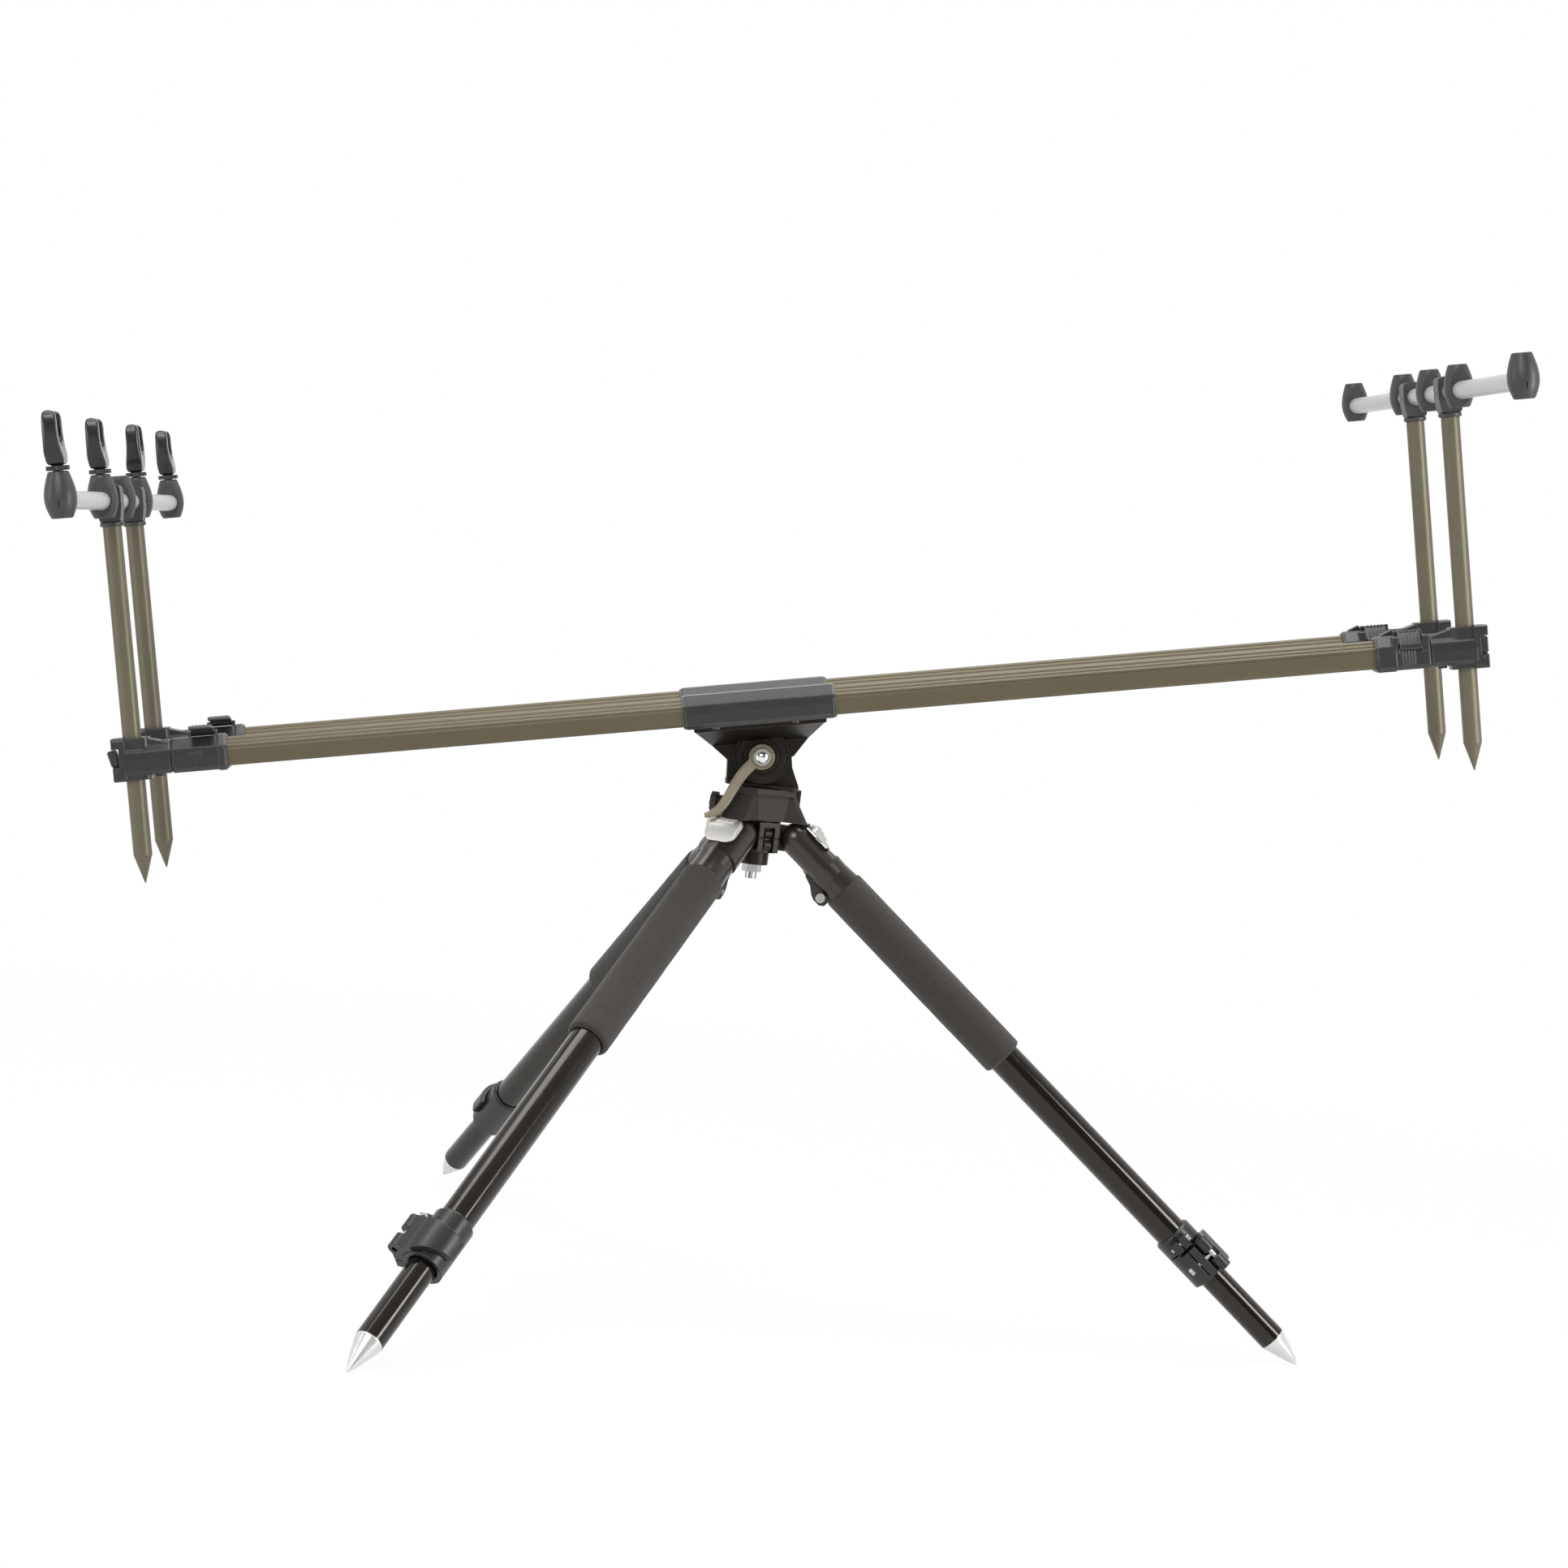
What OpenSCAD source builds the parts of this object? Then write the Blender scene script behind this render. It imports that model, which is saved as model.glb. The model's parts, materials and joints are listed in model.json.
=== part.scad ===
// Rod pod. A folding tripod carries a tilting head with two parallel telescopic beams.
// Banksticks at both ends of the beams hold crossbars for rod rests and bite alarms.
// Millimetres, +Z up, ground at Z = 0, beams along X, the near beam at -Y.

/* [Stance] */
// Angle of each leg from the upright axis
leg_angle = 50.4; // [35:0.1:75]
// Leg length from hinge pin to spike tip
leg_len = 644; // [560:1:760]
// Distance of the leg hinge pins from the upright axis
pivot_r = 35; // [34:0.5:44]
// Turn of the tripod under the beams
crown_turn = -1.8; // [-10:0.1:10]
// Pitch of the beams, right end up
beam_tilt = 11.5; // [-25:0.1:25]

/* [Legs] */
// Outer diameter of the upper leg tube
upper_d = 29; // [27:0.5:32]
// Outer diameter of the lower leg tube
lower_d = 24.2; // [20:0.1:25]
// Wall of the leg tubes
leg_wall = 1.5; // [1:0.1:2]
// Length of the lower leg tube
lower_len = 380; // [300:1:420]
// Diameter of the foam grip
grip_d = 38; // [34:0.5:44]
// Length of the foam grip
grip_len = 206; // [120:1:260]
// Distance from hinge pin to the grip
grip_s = 60; // [58:1:70]
// Distance from hinge pin to the lock collar
lock_s = 483; // [420:1:520]
// Length of the lock collar
lock_len = 49; // [45:1:60]
// Outer diameter of the lock collar
lock_d = 35; // [34:0.5:40]
// Length of the spike's cone
spike_len = 32; // [20:1:45]
// Radius of the blunt spike tip
tip_r = 1.6; // [1:0.1:3]

/* [Crown and head] */
// Radius of the leg hinge pins
pin_r = 3; // [2.5:0.1:4]
// Half thickness of the crown's leg lugs
lug_h = 8.9; // [7:0.1:10]
// Radius of the centre bolt
bolt_r = 5; // [4:0.5:6]
// Distance of the cowl's leg faces from the axis at the foot
cowl_leg1 = 43.8; // [42:0.1:46]
// Distance of the cowl's leg faces from the axis at the rim
cowl_leg2 = 30.6; // [29:0.1:34]
// Half width of the cowl's leg covers at the foot
cowl_w1 = 13.8; // [13:0.1:15]
// Half width of the cowl's leg covers at the rim
cowl_w2 = 12.4; // [12:0.1:13]
// Distance of the walls between the leg covers from the axis
cowl_mid = 23.4; // [23:0.1:24.5]
// Height of the cowl
cowl_h = 28; // [24:0.5:28]
// Height of the tilt bolt above the leg hinge pins
hinge_up = 70.5; // [70.5:0.5:84]
// Offset of the tilt bolt from the upright axis
hinge_x = -4; // [-5:0.5:0]
// Radius of the yoke's round head
yoke_r = 27; // [24:0.5:27]
// Half thickness of the yoke's web
yoke_y = 13; // [10:0.5:14]
// Radius of the friction disc
disc_r = 24.2; // [20:0.1:24.2]

/* [Beams] */
// Distance between the two beams
beam_gap = 150; // [145:1:180]
// Beam width
beam_w = 22; // [20:0.5:26]
// Beam height
beam_h = 24; // [22:0.5:28]
// Beam wall
beam_wall = 1.8; // [1.4:0.1:2.4]
// Beam length
beam_len = 1060; // [900:1:1200]
// Height of the beams above the tilt bolt
beam_up = 45.6; // [44:0.1:52]
// Offset of the head from the middle of the beams
head_off = 38.4; // [-100:0.1:100]
// Length of the saddle sleeves
sleeve_len = 131; // [100:1:160]
// Wall of the sleeves, collars and end blocks
shell_wall = 2.5; // [2:0.1:3]
// Length of the beam collars
collar_len = 47; // [40:1:60]
// Length of the sliding inner tubes
inner_len = 223; // [180:1:260]

/* [Uprights and bars] */
// Upright diameter
upright_d = 16; // [14:0.5:18]
// Distance from a beam's end to its uprights
upright_out = 42.5; // [42.5:0.5:60]
// Length of an upright below the beam's centre line
upright_low = 82.6; // [40:0.1:140]
// Length of an upright's pointed end
upright_tip = 24; // [16:1:30]
// Height of the bars above the beam's centre line
bar_up = 219.4; // [120:0.1:300]
// Bar diameter
bar_d = 15; // [12:0.5:16]
// Distance from the middle of a bar to its end bulbs
bulb_far = 358; // [250:1:370]
// Distance from the middle of a bar to its inner bulbs
bulb_near = 118; // [105:1:160]
// Radius of the bulbs at the waist
bulb_waist = 12.8; // [12:0.1:14]
// Radius of the threaded sockets in the bulbs
socket_r = 4.2; // [3.5:0.1:4.8]
// Height of the rod rests
rest_h = 42; // [36:0.5:50]

/* [Fits] */
// Clearance between pieces that move past each other
gap = 0.35; // [0.3:0.05:0.6]
// Clearance between pieces that sit on each other
seat = 0.03; // [0.02:0.01:0.1]
// Radial running clearance of pins and shafts
run = 0.06; // [0.02:0.01:0.1]

/* [Hidden] */
$fn = 64;
c_black = [0.10, 0.095, 0.09];
c_grey = [0.28, 0.28, 0.28];
c_olive = [0.38, 0.36, 0.28];
c_foam = [0.22, 0.21, 0.19];
c_bar = [0.80, 0.80, 0.78];
c_steel = [0.78, 0.78, 0.76];
c_tab = [0.75, 0.74, 0.70];
c_lever = [0.45, 0.42, 0.34];
leg_az = [crown_turn, crown_turn - 120, crown_turn + 120];
upper_r = upper_d / 2;
lower_r = lower_d / 2;
pivot_h = (leg_len - tip_r) * cos(leg_angle) + tip_r;
cowl_z0 = pivot_h + 14.4;
cowl_z1 = cowl_z0 + cowl_h;
rim_h = 5.3;
cover_h = cowl_h - rim_h;
cover_c = 2;
hinge_z = pivot_h + hinge_up;
spike_s = leg_len - spike_len;
half_gap = beam_gap / 2;
up_r = upright_d / 2;
half_span = beam_len / 2 + upright_out;
collar_x = beam_len / 2 + 9 - collar_len;
block_x = half_span - 32.5;
sleeve_z = beam_up - beam_h / 2 - shell_wall;
bulb_k = bulb_waist / 12.8;
bulb_lo = -14.4 * bulb_k;
bulb_hi = 22.1 * bulb_k;
bulb_slab = 9 * bulb_k;
rest_z = bulb_hi + 5;
rest_k = rest_h / 42;
cheek_in = lug_h + gap;
cheek_r = 14;
cheek_y = 5;
cheek_out = cheek_y + cheek_r;
lever_xy = [14.8, 21.5];
lever_pos = [20.5, 30.2];
lever_len = 19;
lock_mid = lock_s + 32;
cam_open = 58;
block_open = 14;
knob_z = cowl_z0 + 9;
knob_az = 165;
knob_r = 37;
lever_y = -yoke_y - 15.1 - gap;
// Half of the overall length to the right and to the left of the upright axis
reach_r = hinge_x + (half_span + head_off + up_r) * cos(beam_tilt)
  + (upright_low - beam_up) * sin(beam_tilt);
reach_l = -hinge_x + (half_span - head_off + 7.6) * cos(beam_tilt)
  + (beam_up + bar_up + rest_z + 36 * rest_k) * sin(beam_tilt);
mid_x = (reach_r - reach_l) / 2;
mid_y = -(pivot_r + (leg_len - tip_r) * sin(leg_angle)) * sin(crown_turn) / 2;

// Frames of reference

// Whole part, centred over its footprint
module place() translate([-mid_x, -mid_y, 0]) children();

// Leg frame: X away from the leg's upper face, Z down the leg from the hinge pin
module on_leg(az)
  place()
    rotate([0, 0, az])
      translate([pivot_r, 0, pivot_h])
        rotate([0, 180 - leg_angle, 0])
          rotate([0, 0, 180])
            children();

// Yoke frame: origin on the tilt bolt, Z up
module on_yoke() place() translate([hinge_x, 0, hinge_z]) children();

// Beam frame: origin on the tilt bolt, X along the beams
module on_head() on_yoke() rotate([0, -beam_tilt, 0]) children();

// Beam frame with its origin in the middle of the beams, on their centre line
module on_beam() on_head() translate([head_off, 0, beam_up]) children();

// End frame: X outwards from the middle, side -1 is left and 1 is right
module on_end(side) on_beam() rotate([0, 0, side > 0 ? 0 : 180]) children();

// Bar frame: origin on the bar's centre line above the uprights
module on_bar(side) on_beam() translate([side * half_span, 0, bar_up]) children();

// Shared shapes

// Extruded section of the beams with flat sides and a bevelled top; o grows it all round,
// lean draws the upper half of the sides in
module section(o, grooves = false, lean = 0) {
  a = beam_w / 2 + o;
  b = beam_h / 2 + o;
  c = 7 + 0.586 * o;
  k = max(2 + 0.586 * o, 0.4);
  // shallow grooves below the bevel and across it
  side = [[a, b - c - 2.4], [a - 0.7, b - c - 1.6], [a, b - c - 0.8]];
  bevel = [for (t = [0.22, 0.30, 0.38, 0.62, 0.70, 0.78])
    let (n = (t == 0.30 || t == 0.70) ? 0.5 : 0)
      [a - c * t - n, b - c + c * t - n]];
  right = concat([[a - k, -b], [a, -b + k]], grooves ? side : [], lean > 0 ? [[a, -1]] : [],
                 [[a - lean, b - c]], grooves ? bevel : [], [[a - c, b]]);
  left = [for (i = [len(right) - 1 : -1 : 0]) [-right[i][0], right[i][1]]];
  polygon(concat(right, left));
}

// The section run along X from x0 to x1
module bar_of_section(x0, x1, o, grooves = false, lean = 0)
  translate([x0, 0, 0])
    rotate([90, 0, 90])
      linear_extrude(x1 - x0)
        section(o, grooves, lean);

// Round tube along Z
module tube(r, ri, z0, z1)
  translate([0, 0, z0])
    difference() {
      cylinder(r = r, h = z1 - z0);
      translate([0, 0, -1]) cylinder(r = ri, h = z1 - z0 + 2);
    }

// Cylinder along Y, centred
module rod_y(r, l) rotate([90, 0, 0]) cylinder(r = r, h = l, center = true);

// Rectangle with rounded corners, centred
module plate_2d(w, h, r) {
  square([w - 2 * r, h], center = true);
  square([w, h - 2 * r], center = true);
  for (x = [-1, 1], y = [-1, 1])
    translate([x * (w / 2 - r), y * (h / 2 - r)])
      circle(r = r);
}

// Knurled ring nut along Z
module knurled(r, ri, h, n)
  difference() {
    linear_extrude(h)
      polygon([for (i = [0 : 2 * n - 1])
        (i % 2 == 0 ? r : r - 0.6) * [cos(180 * i / n), sin(180 * i / n)]]);
    translate([0, 0, -1]) cylinder(r = ri, h = h + 2);
  }

// Socket-head screw along Z, head up at z = 0
module cap_screw(r, hr, hh, l)
  difference() {
    union() {
      cylinder(r = hr, h = hh);
      translate([0, 0, -l]) cylinder(r = r, h = l);
    }
    translate([0, 0, hh * 0.45]) cylinder(r = hr * 0.52, h = hh, $fn = 6);
  }

// Crown of the tripod

module crown_lug() {
  translate([8, -lug_h, pivot_h - 11]) cube([pivot_r - 8, 2 * lug_h, 22]);
  translate([pivot_r, 0, pivot_h]) rod_y(11, 2 * lug_h);
}

// Stop on the crown that the leg's angle tab leans against
module crown_stop(az)
  rotate([0, 0, az])
    translate([pivot_r, 0, pivot_h])
      rotate([0, 180 - leg_angle, 0])
        rotate([0, 0, 180])
          translate([8, 0.6 - lug_h, -14 - gap])
            cube([11, 2 * lug_h - 1.2, 14]);

// Slotted boss between two legs with rounded keepers in its slot
module crown_boss() {
  difference() {
    translate([12, -10.5, pivot_h - 13]) cube([11.5, 21, 26]);
    translate([19, -5.2, pivot_h - 15]) cube([6, 10.4, 23.5]);
    translate([22.6, -12, pivot_h - 1.4]) cube([3, 24, 1.4]);
  }
  translate([19, 0, pivot_h + 3]) rod_y(4, 7);
  translate([18.5, 0, pivot_h - 7]) rod_y(4.6, 7);
}

module crown_spider()
  color(c_black)
    place()
      difference() {
        union() {
          translate([0, 0, pivot_h - 14]) cylinder(r = 20, h = 28.4 - seat);
          translate([0, 0, pivot_h - 25.5]) cylinder(r = 13.5, h = 12);
          for (a = leg_az) {
            rotate([0, 0, a]) crown_lug();
            rotate([0, 0, a + 60]) crown_boss();
            crown_stop(a);
          }
        }
        translate([-60, -60, cowl_z0 - seat]) cube([120, 120, 30]);
        translate([0, 0, pivot_h - 40]) cylinder(r = bolt_r + seat, h = 80);
        for (a = leg_az)
          rotate([0, 0, a])
            translate([pivot_r, 0, pivot_h])
              rod_y(pin_r + seat, 60);
      }

// One sloping face of the cowl as a half space
module cowl_face(az, r1, r2)
  rotate([0, 0, az])
    translate([r1, 0, cowl_z0])
      rotate([0, -atan((r1 - r2) / cover_h), 0])
        translate([-150, -75, -20])
          cube([150, 150, 90]);

// Cover over one leg's hinge: sloping faces with chamfered corners, hollow below
module leg_cover(az) {
  e1 = (cowl_leg1 + cowl_w1 - cover_c) / sqrt(2);
  e2 = (cowl_leg2 + cowl_w2 - cover_c) / sqrt(2);
  difference() {
    intersection() {
      rotate([0, 0, az]) translate([5, -40, cowl_z0]) cube([60, 80, cover_h + 1]);
      cowl_face(az, cowl_leg1, cowl_leg2);
      cowl_face(az + 90, cowl_w1, cowl_w2);
      cowl_face(az - 90, cowl_w1, cowl_w2);
      cowl_face(az + 45, e1, e2);
      cowl_face(az - 45, e1, e2);
    }
    rotate([0, 0, az])
      translate([22, 3.5 - cowl_w1, cowl_z0 - 1])
        cube([cowl_leg1 - 31, 2 * cowl_w1 - 7, 8]);
  }
}

// Outline with faces towards the legs at r1 and faces between the legs at r2
module six_sided(r1, r2) {
  t = (r2 - r1 / 2) / sin(60);
  rotate(crown_turn)
    polygon([for (a = [0, 120, 240], y = [-t, t])
      [r1 * cos(a) - y * sin(a), r1 * sin(a) + y * cos(a)]]);
}

// Cowl of the crown: three leg covers, plain walls between them and a rim under the pan seat
module crown_cowl()
  color(c_black)
    place()
      difference() {
        union() {
          for (a = leg_az)
            leg_cover(a);
          translate([0, 0, cowl_z0])
            linear_extrude(cowl_h)
              six_sided(2 * (cowl_mid - cowl_w2 * sin(60)) + 0.2, cowl_mid);
          translate([0, 0, cowl_z1 - rim_h])
            linear_extrude(rim_h)
              six_sided(cowl_leg2 + 0.4, cowl_mid + 4.6);
          // lug beside the pan seat and boss for the pan lock screw
          translate([24, 9, cowl_z0 + 12]) cube([12, 9, cowl_h - 12.5]);
          rotate([0, 0, knob_az])
            translate([20, 0, knob_z])
              rotate([0, 90, 0])
                cylinder(r = 7, h = knob_r - 20);
        }
        translate([0, 0, cowl_z0 - 1]) cylinder(r = bolt_r + seat, h = cowl_h + 2);
        rotate([0, 0, knob_az])
          translate([22, 0, knob_z])
            rotate([0, 90, 0])
              cylinder(r = 3 + run, h = 30);
      }

// Centre bolt with its nut and the three leg hinge pins
module crown_fasteners()
  color(c_steel)
    place() {
      translate([0, 0, pivot_h - 38.5]) cylinder(r = bolt_r, h = cowl_z1 - pivot_h + 50);
      translate([0, 0, pivot_h - 25.5 - seat - 7])
        difference() {
          cylinder(r = 8.6, h = 7, $fn = 6);
          translate([0, 0, -1]) cylinder(r = bolt_r + seat, h = 9);
        }
      for (a = leg_az)
        rotate([0, 0, a])
          translate([pivot_r, 0, pivot_h])
            rod_y(pin_r, 2 * cheek_out - 8);
    }

// Legs

// Forked casting at the top of a leg: two rounded arms run into a socket with a split clamp
module leg_casting(az)
  color(c_black)
    on_leg(az)
      difference() {
        union() {
          translate([0, 0, 24]) cylinder(r1 = upper_r + 0.4, r2 = upper_r + 2.8, h = grip_s - 24);
          for (y = [-1, 1])
            translate([0, y * cheek_y, 0]) {
              cylinder(r = cheek_r, h = 36);
              sphere(r = cheek_r);
            }
          translate([0, 0, 36]) cylinder(r1 = cheek_out - 2, r2 = upper_r + 1.6, h = 16);
          // ear of the tube clamp on the underside
          translate([0, 8, 0])
            rotate([90, 0, 0])
              linear_extrude(16)
                polygon([[-10, 22], [-16, 30], [-18.5, 38], [-23.5, 45], [-25, 49], [-25, 56],
                         [-22, grip_s - 0.4], [-10, grip_s]]);
        }
        // slot that takes the crown's lug
        translate([-30, -cheek_in, -30]) cube([60, 2 * cheek_in, 55]);
        translate([0, 0, 26]) cylinder(r = upper_r + seat, h = 60);
        translate([0, 0, 20]) cylinder(r = upper_r - 4, h = 20);
        translate([-30, -0.8, 38]) cube([20, 1.6, 40]);
        translate([-19.5, 0, 52]) rod_y(2.4 + seat, 60);
        rod_y(pin_r + run, 2 * cheek_out - 7);
      }

module upper_tube(az) color(c_black) on_leg(az) tube(upper_r, upper_r - leg_wall, 26 + seat, lock_s + 15);

// Foam grip with rounded ends
module leg_grip(az)
  color(c_foam)
    on_leg(az)
      rotate_extrude()
        polygon(concat(
          [[upper_r + seat, grip_s + seat]],
          [for (a = [0 : 15 : 90]) [grip_d / 2 - 3 + 3 * sin(a), grip_s + seat + 3 - 3 * cos(a)]],
          [for (a = [0 : 15 : 90]) [grip_d / 2 - 3 + 3 * cos(a), grip_s + grip_len - 3 + 3 * sin(a)]],
          [[upper_r + seat, grip_s + grip_len]]));

// Flip-lock collar: the upper half holds the upper tube, the lower half grips the lower tube
module lock_collar(az)
  color(c_grey)
    on_leg(az)
      difference() {
        union() {
          translate([0, 0, lock_s]) cylinder(r = lock_d / 2, h = lock_len);
          translate([0, 0, lock_s - 2]) cylinder(r1 = upper_r + 1.2, r2 = lock_d / 2, h = 2);
          // ears of the fixed clamp and of the lever clamp
          translate([-8, 12, lock_s + 2]) cube([16, 15.5, 11]);
          translate([0, 21.5, lock_s + 7.5]) rotate([0, 90, 0]) cylinder(r = 6, h = 16, center = true);
          translate([-7.6, 12, lock_s + 16]) cube([15.2, 15.5, 31]);
        }
        translate([0, 0, lock_s - 3]) cylinder(r = upper_r + seat, h = 18 + seat);
        translate([0, 0, lock_s]) cylinder(r = lower_r + run, h = 60);
        // split through the ears and slit between the two clamps
        translate([-0.7, 5, lock_s - 3]) cube([1.4, 30, 60]);
        translate([-20, 8, lock_s + 14.2]) cube([40, 30, 1.4]);
        translate([0, 21.5, lock_s + 7.5]) rotate([0, 90, 0]) cylinder(r = 2 + seat, h = 60, center = true);
        translate([0, lever_xy[1], lock_mid]) rotate([0, 90, 0]) cylinder(r = 2.6, h = 60, center = true);
        // chamfer round the lower mouth
        translate([0, 0, lock_s + lock_len - 1.5]) cylinder(r1 = lower_r, r2 = lower_r + 2, h = 2);
      }

// Clamp bolt of the casting, clamp screw of the collar, tee bolt and barrel pin of the lever
module leg_screws(az)
  color(c_steel)
    on_leg(az) {
      translate([-19.5, 8 + seat, 52]) rotate([-90, 0, 0]) cap_screw(2.4, 4.2, 3.4, 18);
      translate([8 + seat, 21.5, lock_s + 7.5]) rotate([0, 90, 0]) cap_screw(2, 3.8, 2.6, 18);
      translate([lever_xy[0], lever_xy[1], lock_mid - 12]) cylinder(r = 2.5, h = 24);
      translate([-11, lever_xy[1], lock_mid]) rotate([0, 90, 0]) cylinder(r = 2.2, h = lever_xy[0] + 11);
      translate([-7.6 - seat - 3.4, lever_xy[1], lock_mid]) rotate([0, 90, 0]) cylinder(r = 4, h = 3.4);
    }

// Flip lever that closes over the collar
module lock_lever(az)
  color(c_grey)
    on_leg(az)
      difference() {
        union() {
          intersection() {
            translate([0, 0, lock_mid - 17])
              linear_extrude(34)
                difference() {
                  union() {
                    circle(r = lock_d / 2 + 5.4);
                    translate([9.5, 6]) square([11.2, 16]);
                  }
                  circle(r = lock_d / 2 + 0.7);
                  translate([-40, -40]) square([42.5, 80]);
                  translate([-10, 19]) square([50, 40]);
                }
            // taper towards the free end
            translate([-5, 0, lock_mid])
              rotate([0, 90, 0])
                linear_extrude(40)
                  polygon([[-17, 40], [17, 40], [17, 8], [12, -26], [-4, -26], [-17, 4]]);
          }
          translate([lever_xy[0], lever_xy[1], lock_mid - 17]) cylinder(r = 6.2, h = 34);
        }
        // window over the tee bolt, ear clearance and hinge bore
        translate([lever_xy[0] - 12, lever_xy[1] - 3.2, lock_mid - 4]) cube([24, 20, 8]);
        translate([lever_xy[0] - 12, lever_xy[1] - 8.5, lock_mid - 4]) cube([12, 12, 8]);
        translate([-10, 10, lock_mid - 40]) cube([17.6 + gap, 30, 80]);
        translate([lever_xy[0], lever_xy[1], lock_mid - 40]) cylinder(r = 2.5 + run, h = 80);
      }

module lower_tube(az)
  color(c_black)
    on_leg(az)
      tube(lower_r, lower_r - leg_wall, spike_s - lower_len, spike_s);

// Turned spike with a convex cone, pressed into the lower tube
module spike(az)
  color(c_steel)
    on_leg(az)
      rotate_extrude()
        polygon(concat(
          [[0, spike_s - 22], [lower_r - leg_wall - seat, spike_s - 22],
           [lower_r - leg_wall - seat, spike_s + seat], [lower_r - 0.2, spike_s + seat]],
          [for (t = [0 : 0.125 : 1])
            [tip_r + (lower_r - 0.2 - tip_r) * pow(1 - t, 0.86),
             spike_s + 1.2 + (spike_len - tip_r - 1.2) * t]],
          [for (a = [15 : 15 : 90]) [tip_r * cos(a), leg_len - tip_r + tip_r * sin(a)]]));

// Spring-loaded angle tab on the upper face of the casting
module angle_tab(az)
  color(c_tab)
    on_leg(az) {
      intersection() {
        translate([0, 15, 0])
          rotate([90, 0, 0])
            linear_extrude(30)
              polygon(concat(
                [[15.6, 0], [16.8, 0]],
                [for (t = [0 : 0.1 : 1]) [18.2 + 4.6 * sin(180 * pow(t, 0.8)) - 2.2 * t, 1 + 26 * t]],
                [[15.6, 27]]));
        translate([10, 0, 13.5])
          rotate([90, 0, 90])
            linear_extrude(20)
              plate_2d(30, 27, 8);
      }
      translate([8, -7.3, 12]) cube([8, 14.6, 5.5]);
      for (i = [0 : 3])
        translate([19.7 + i * 0.9, 0, 2.6 + i * 2.1])
          rod_y(0.7, 17);
    }

// Head

// Pan yoke with a round head that carries the tilt bolt
module pan_yoke()
  color(c_black)
    place()
      difference() {
        union() {
          translate([hinge_x, 0, hinge_z]) rod_y(yoke_r, 2 * yoke_y);
          // neck that spreads to the pan seat
          translate([0, yoke_y, 0])
            rotate([90, 0, 0])
              linear_extrude(2 * yoke_y)
                polygon([[-32, cowl_z1 + gap], [32, cowl_z1 + gap], [31.5, cowl_z1 + 5],
                         [hinge_x + yoke_r + 1.5, hinge_z - 8], [hinge_x + yoke_r, hinge_z],
                         [hinge_x - yoke_r, hinge_z], [hinge_x - yoke_r - 1.5, hinge_z - 8],
                         [-31.5, cowl_z1 + 5]]);
          translate([0, 0, cowl_z1 + gap])
            linear_extrude(3)
              plate_2d(64, 44, 6);
        }
        translate([hinge_x, 0, hinge_z]) rod_y(4 + seat, 60);
        translate([0, 0, cowl_z1 - 1]) cylinder(r = bolt_r + run, h = 14);
      }

// Lobed knob of the pan lock with its screw
module pan_knob()
  color([0.16, 0.12, 0.09])
    place()
      rotate([0, 0, knob_az])
        translate([knob_r + gap, 0, knob_z])
          rotate([0, 90, 0]) {
            difference() {
              cylinder(r = 9.5, h = 5.4);
              for (i = [0 : 9])
                rotate([0, 0, 36 * i])
                  translate([10.6, 0, -1])
                    cylinder(r = 2, h = 8, $fn = 24);
              translate([0, 0, 4.6]) tube(6.5, 4.8, 0, 3);
            }
            translate([0, 0, -13]) cylinder(r = 3, h = 14);
          }

// Bridge casting between the sleeves with its two cheeks and the friction disc
module tilt_plate()
  color(c_black)
    on_head()
      difference() {
        union() {
          intersection() {
            translate([0, 80, 0])
              rotate([90, 0, 0])
                linear_extrude(160)
                  union() {
                    polygon([[-57, sleeve_z - seat], [57, sleeve_z - seat], [57, sleeve_z - 3],
                             [28, -3], [-28, -3], [-57, sleeve_z - 3]]);
                    circle(r = 24);
                  }
            translate([-80, 0, 0])
              rotate([90, 0, 90])
                linear_extrude(160)
                  polygon([[-72, sleeve_z], [72, sleeve_z], [72, sleeve_z - 4], [62, sleeve_z - 5],
                           [yoke_y + 8.3, 12], [yoke_y + 8.3, -40], [-yoke_y - 8.3, -40],
                           [-yoke_y - 8.3, 12], [-62, sleeve_z - 5], [-72, sleeve_z - 4]]);
          }
          // friction disc with a ring groove
          translate([0, -yoke_y - 11.6, 0])
            difference() {
              rod_y(disc_r, 7);
              translate([0, -3.5, 0]) difference() { rod_y(disc_r - 1.4, 1.6); rod_y(disc_r - 3, 4); }
              translate([0, -3.5, 0]) difference() { rod_y(16, 1); rod_y(15, 4); }
            }
        }
        // slot for the yoke and bore for the tilt bolt
        rod_y(yoke_r + gap, 2 * (yoke_y + gap));
        translate([-60, -yoke_y - gap, -60]) cube([120, 2 * (yoke_y + gap), 72]);
        rod_y(4 + run, 120);
      }

// Tilt bolt with its far nut
module head_fasteners()
  color(c_steel)
    on_yoke() {
      translate([0, lever_y - 13 - gap - 3, 0]) rotate([-90, 0, 0]) cylinder(r = 4, h = 76);
      translate([0, lever_y - 13 - gap, 0])
        rotate([90, 0, 0])
          difference() {
            cylinder(r = 7, h = 4.2);
            translate([0, 0, 3]) cylinder(r = 5.6, h = 3);
            translate([0, 0, -1]) cylinder(r = 4 - seat, h = 3);
          }
      translate([0, yoke_y + 8.3 + gap, 0])
        rotate([-90, 0, 0])
          difference() {
            cylinder(r = 7.5, h = 6, $fn = 6);
            translate([0, 0, -1]) cylinder(r = 4 + seat, h = 8);
          }
    }

// Points of a cubic curve
function curve(a, b, c, d, t) =
  pow(1 - t, 3) * a + 3 * t * pow(1 - t, 2) * b + 3 * t * t * (1 - t) * c + pow(t, 3) * d;

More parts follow.
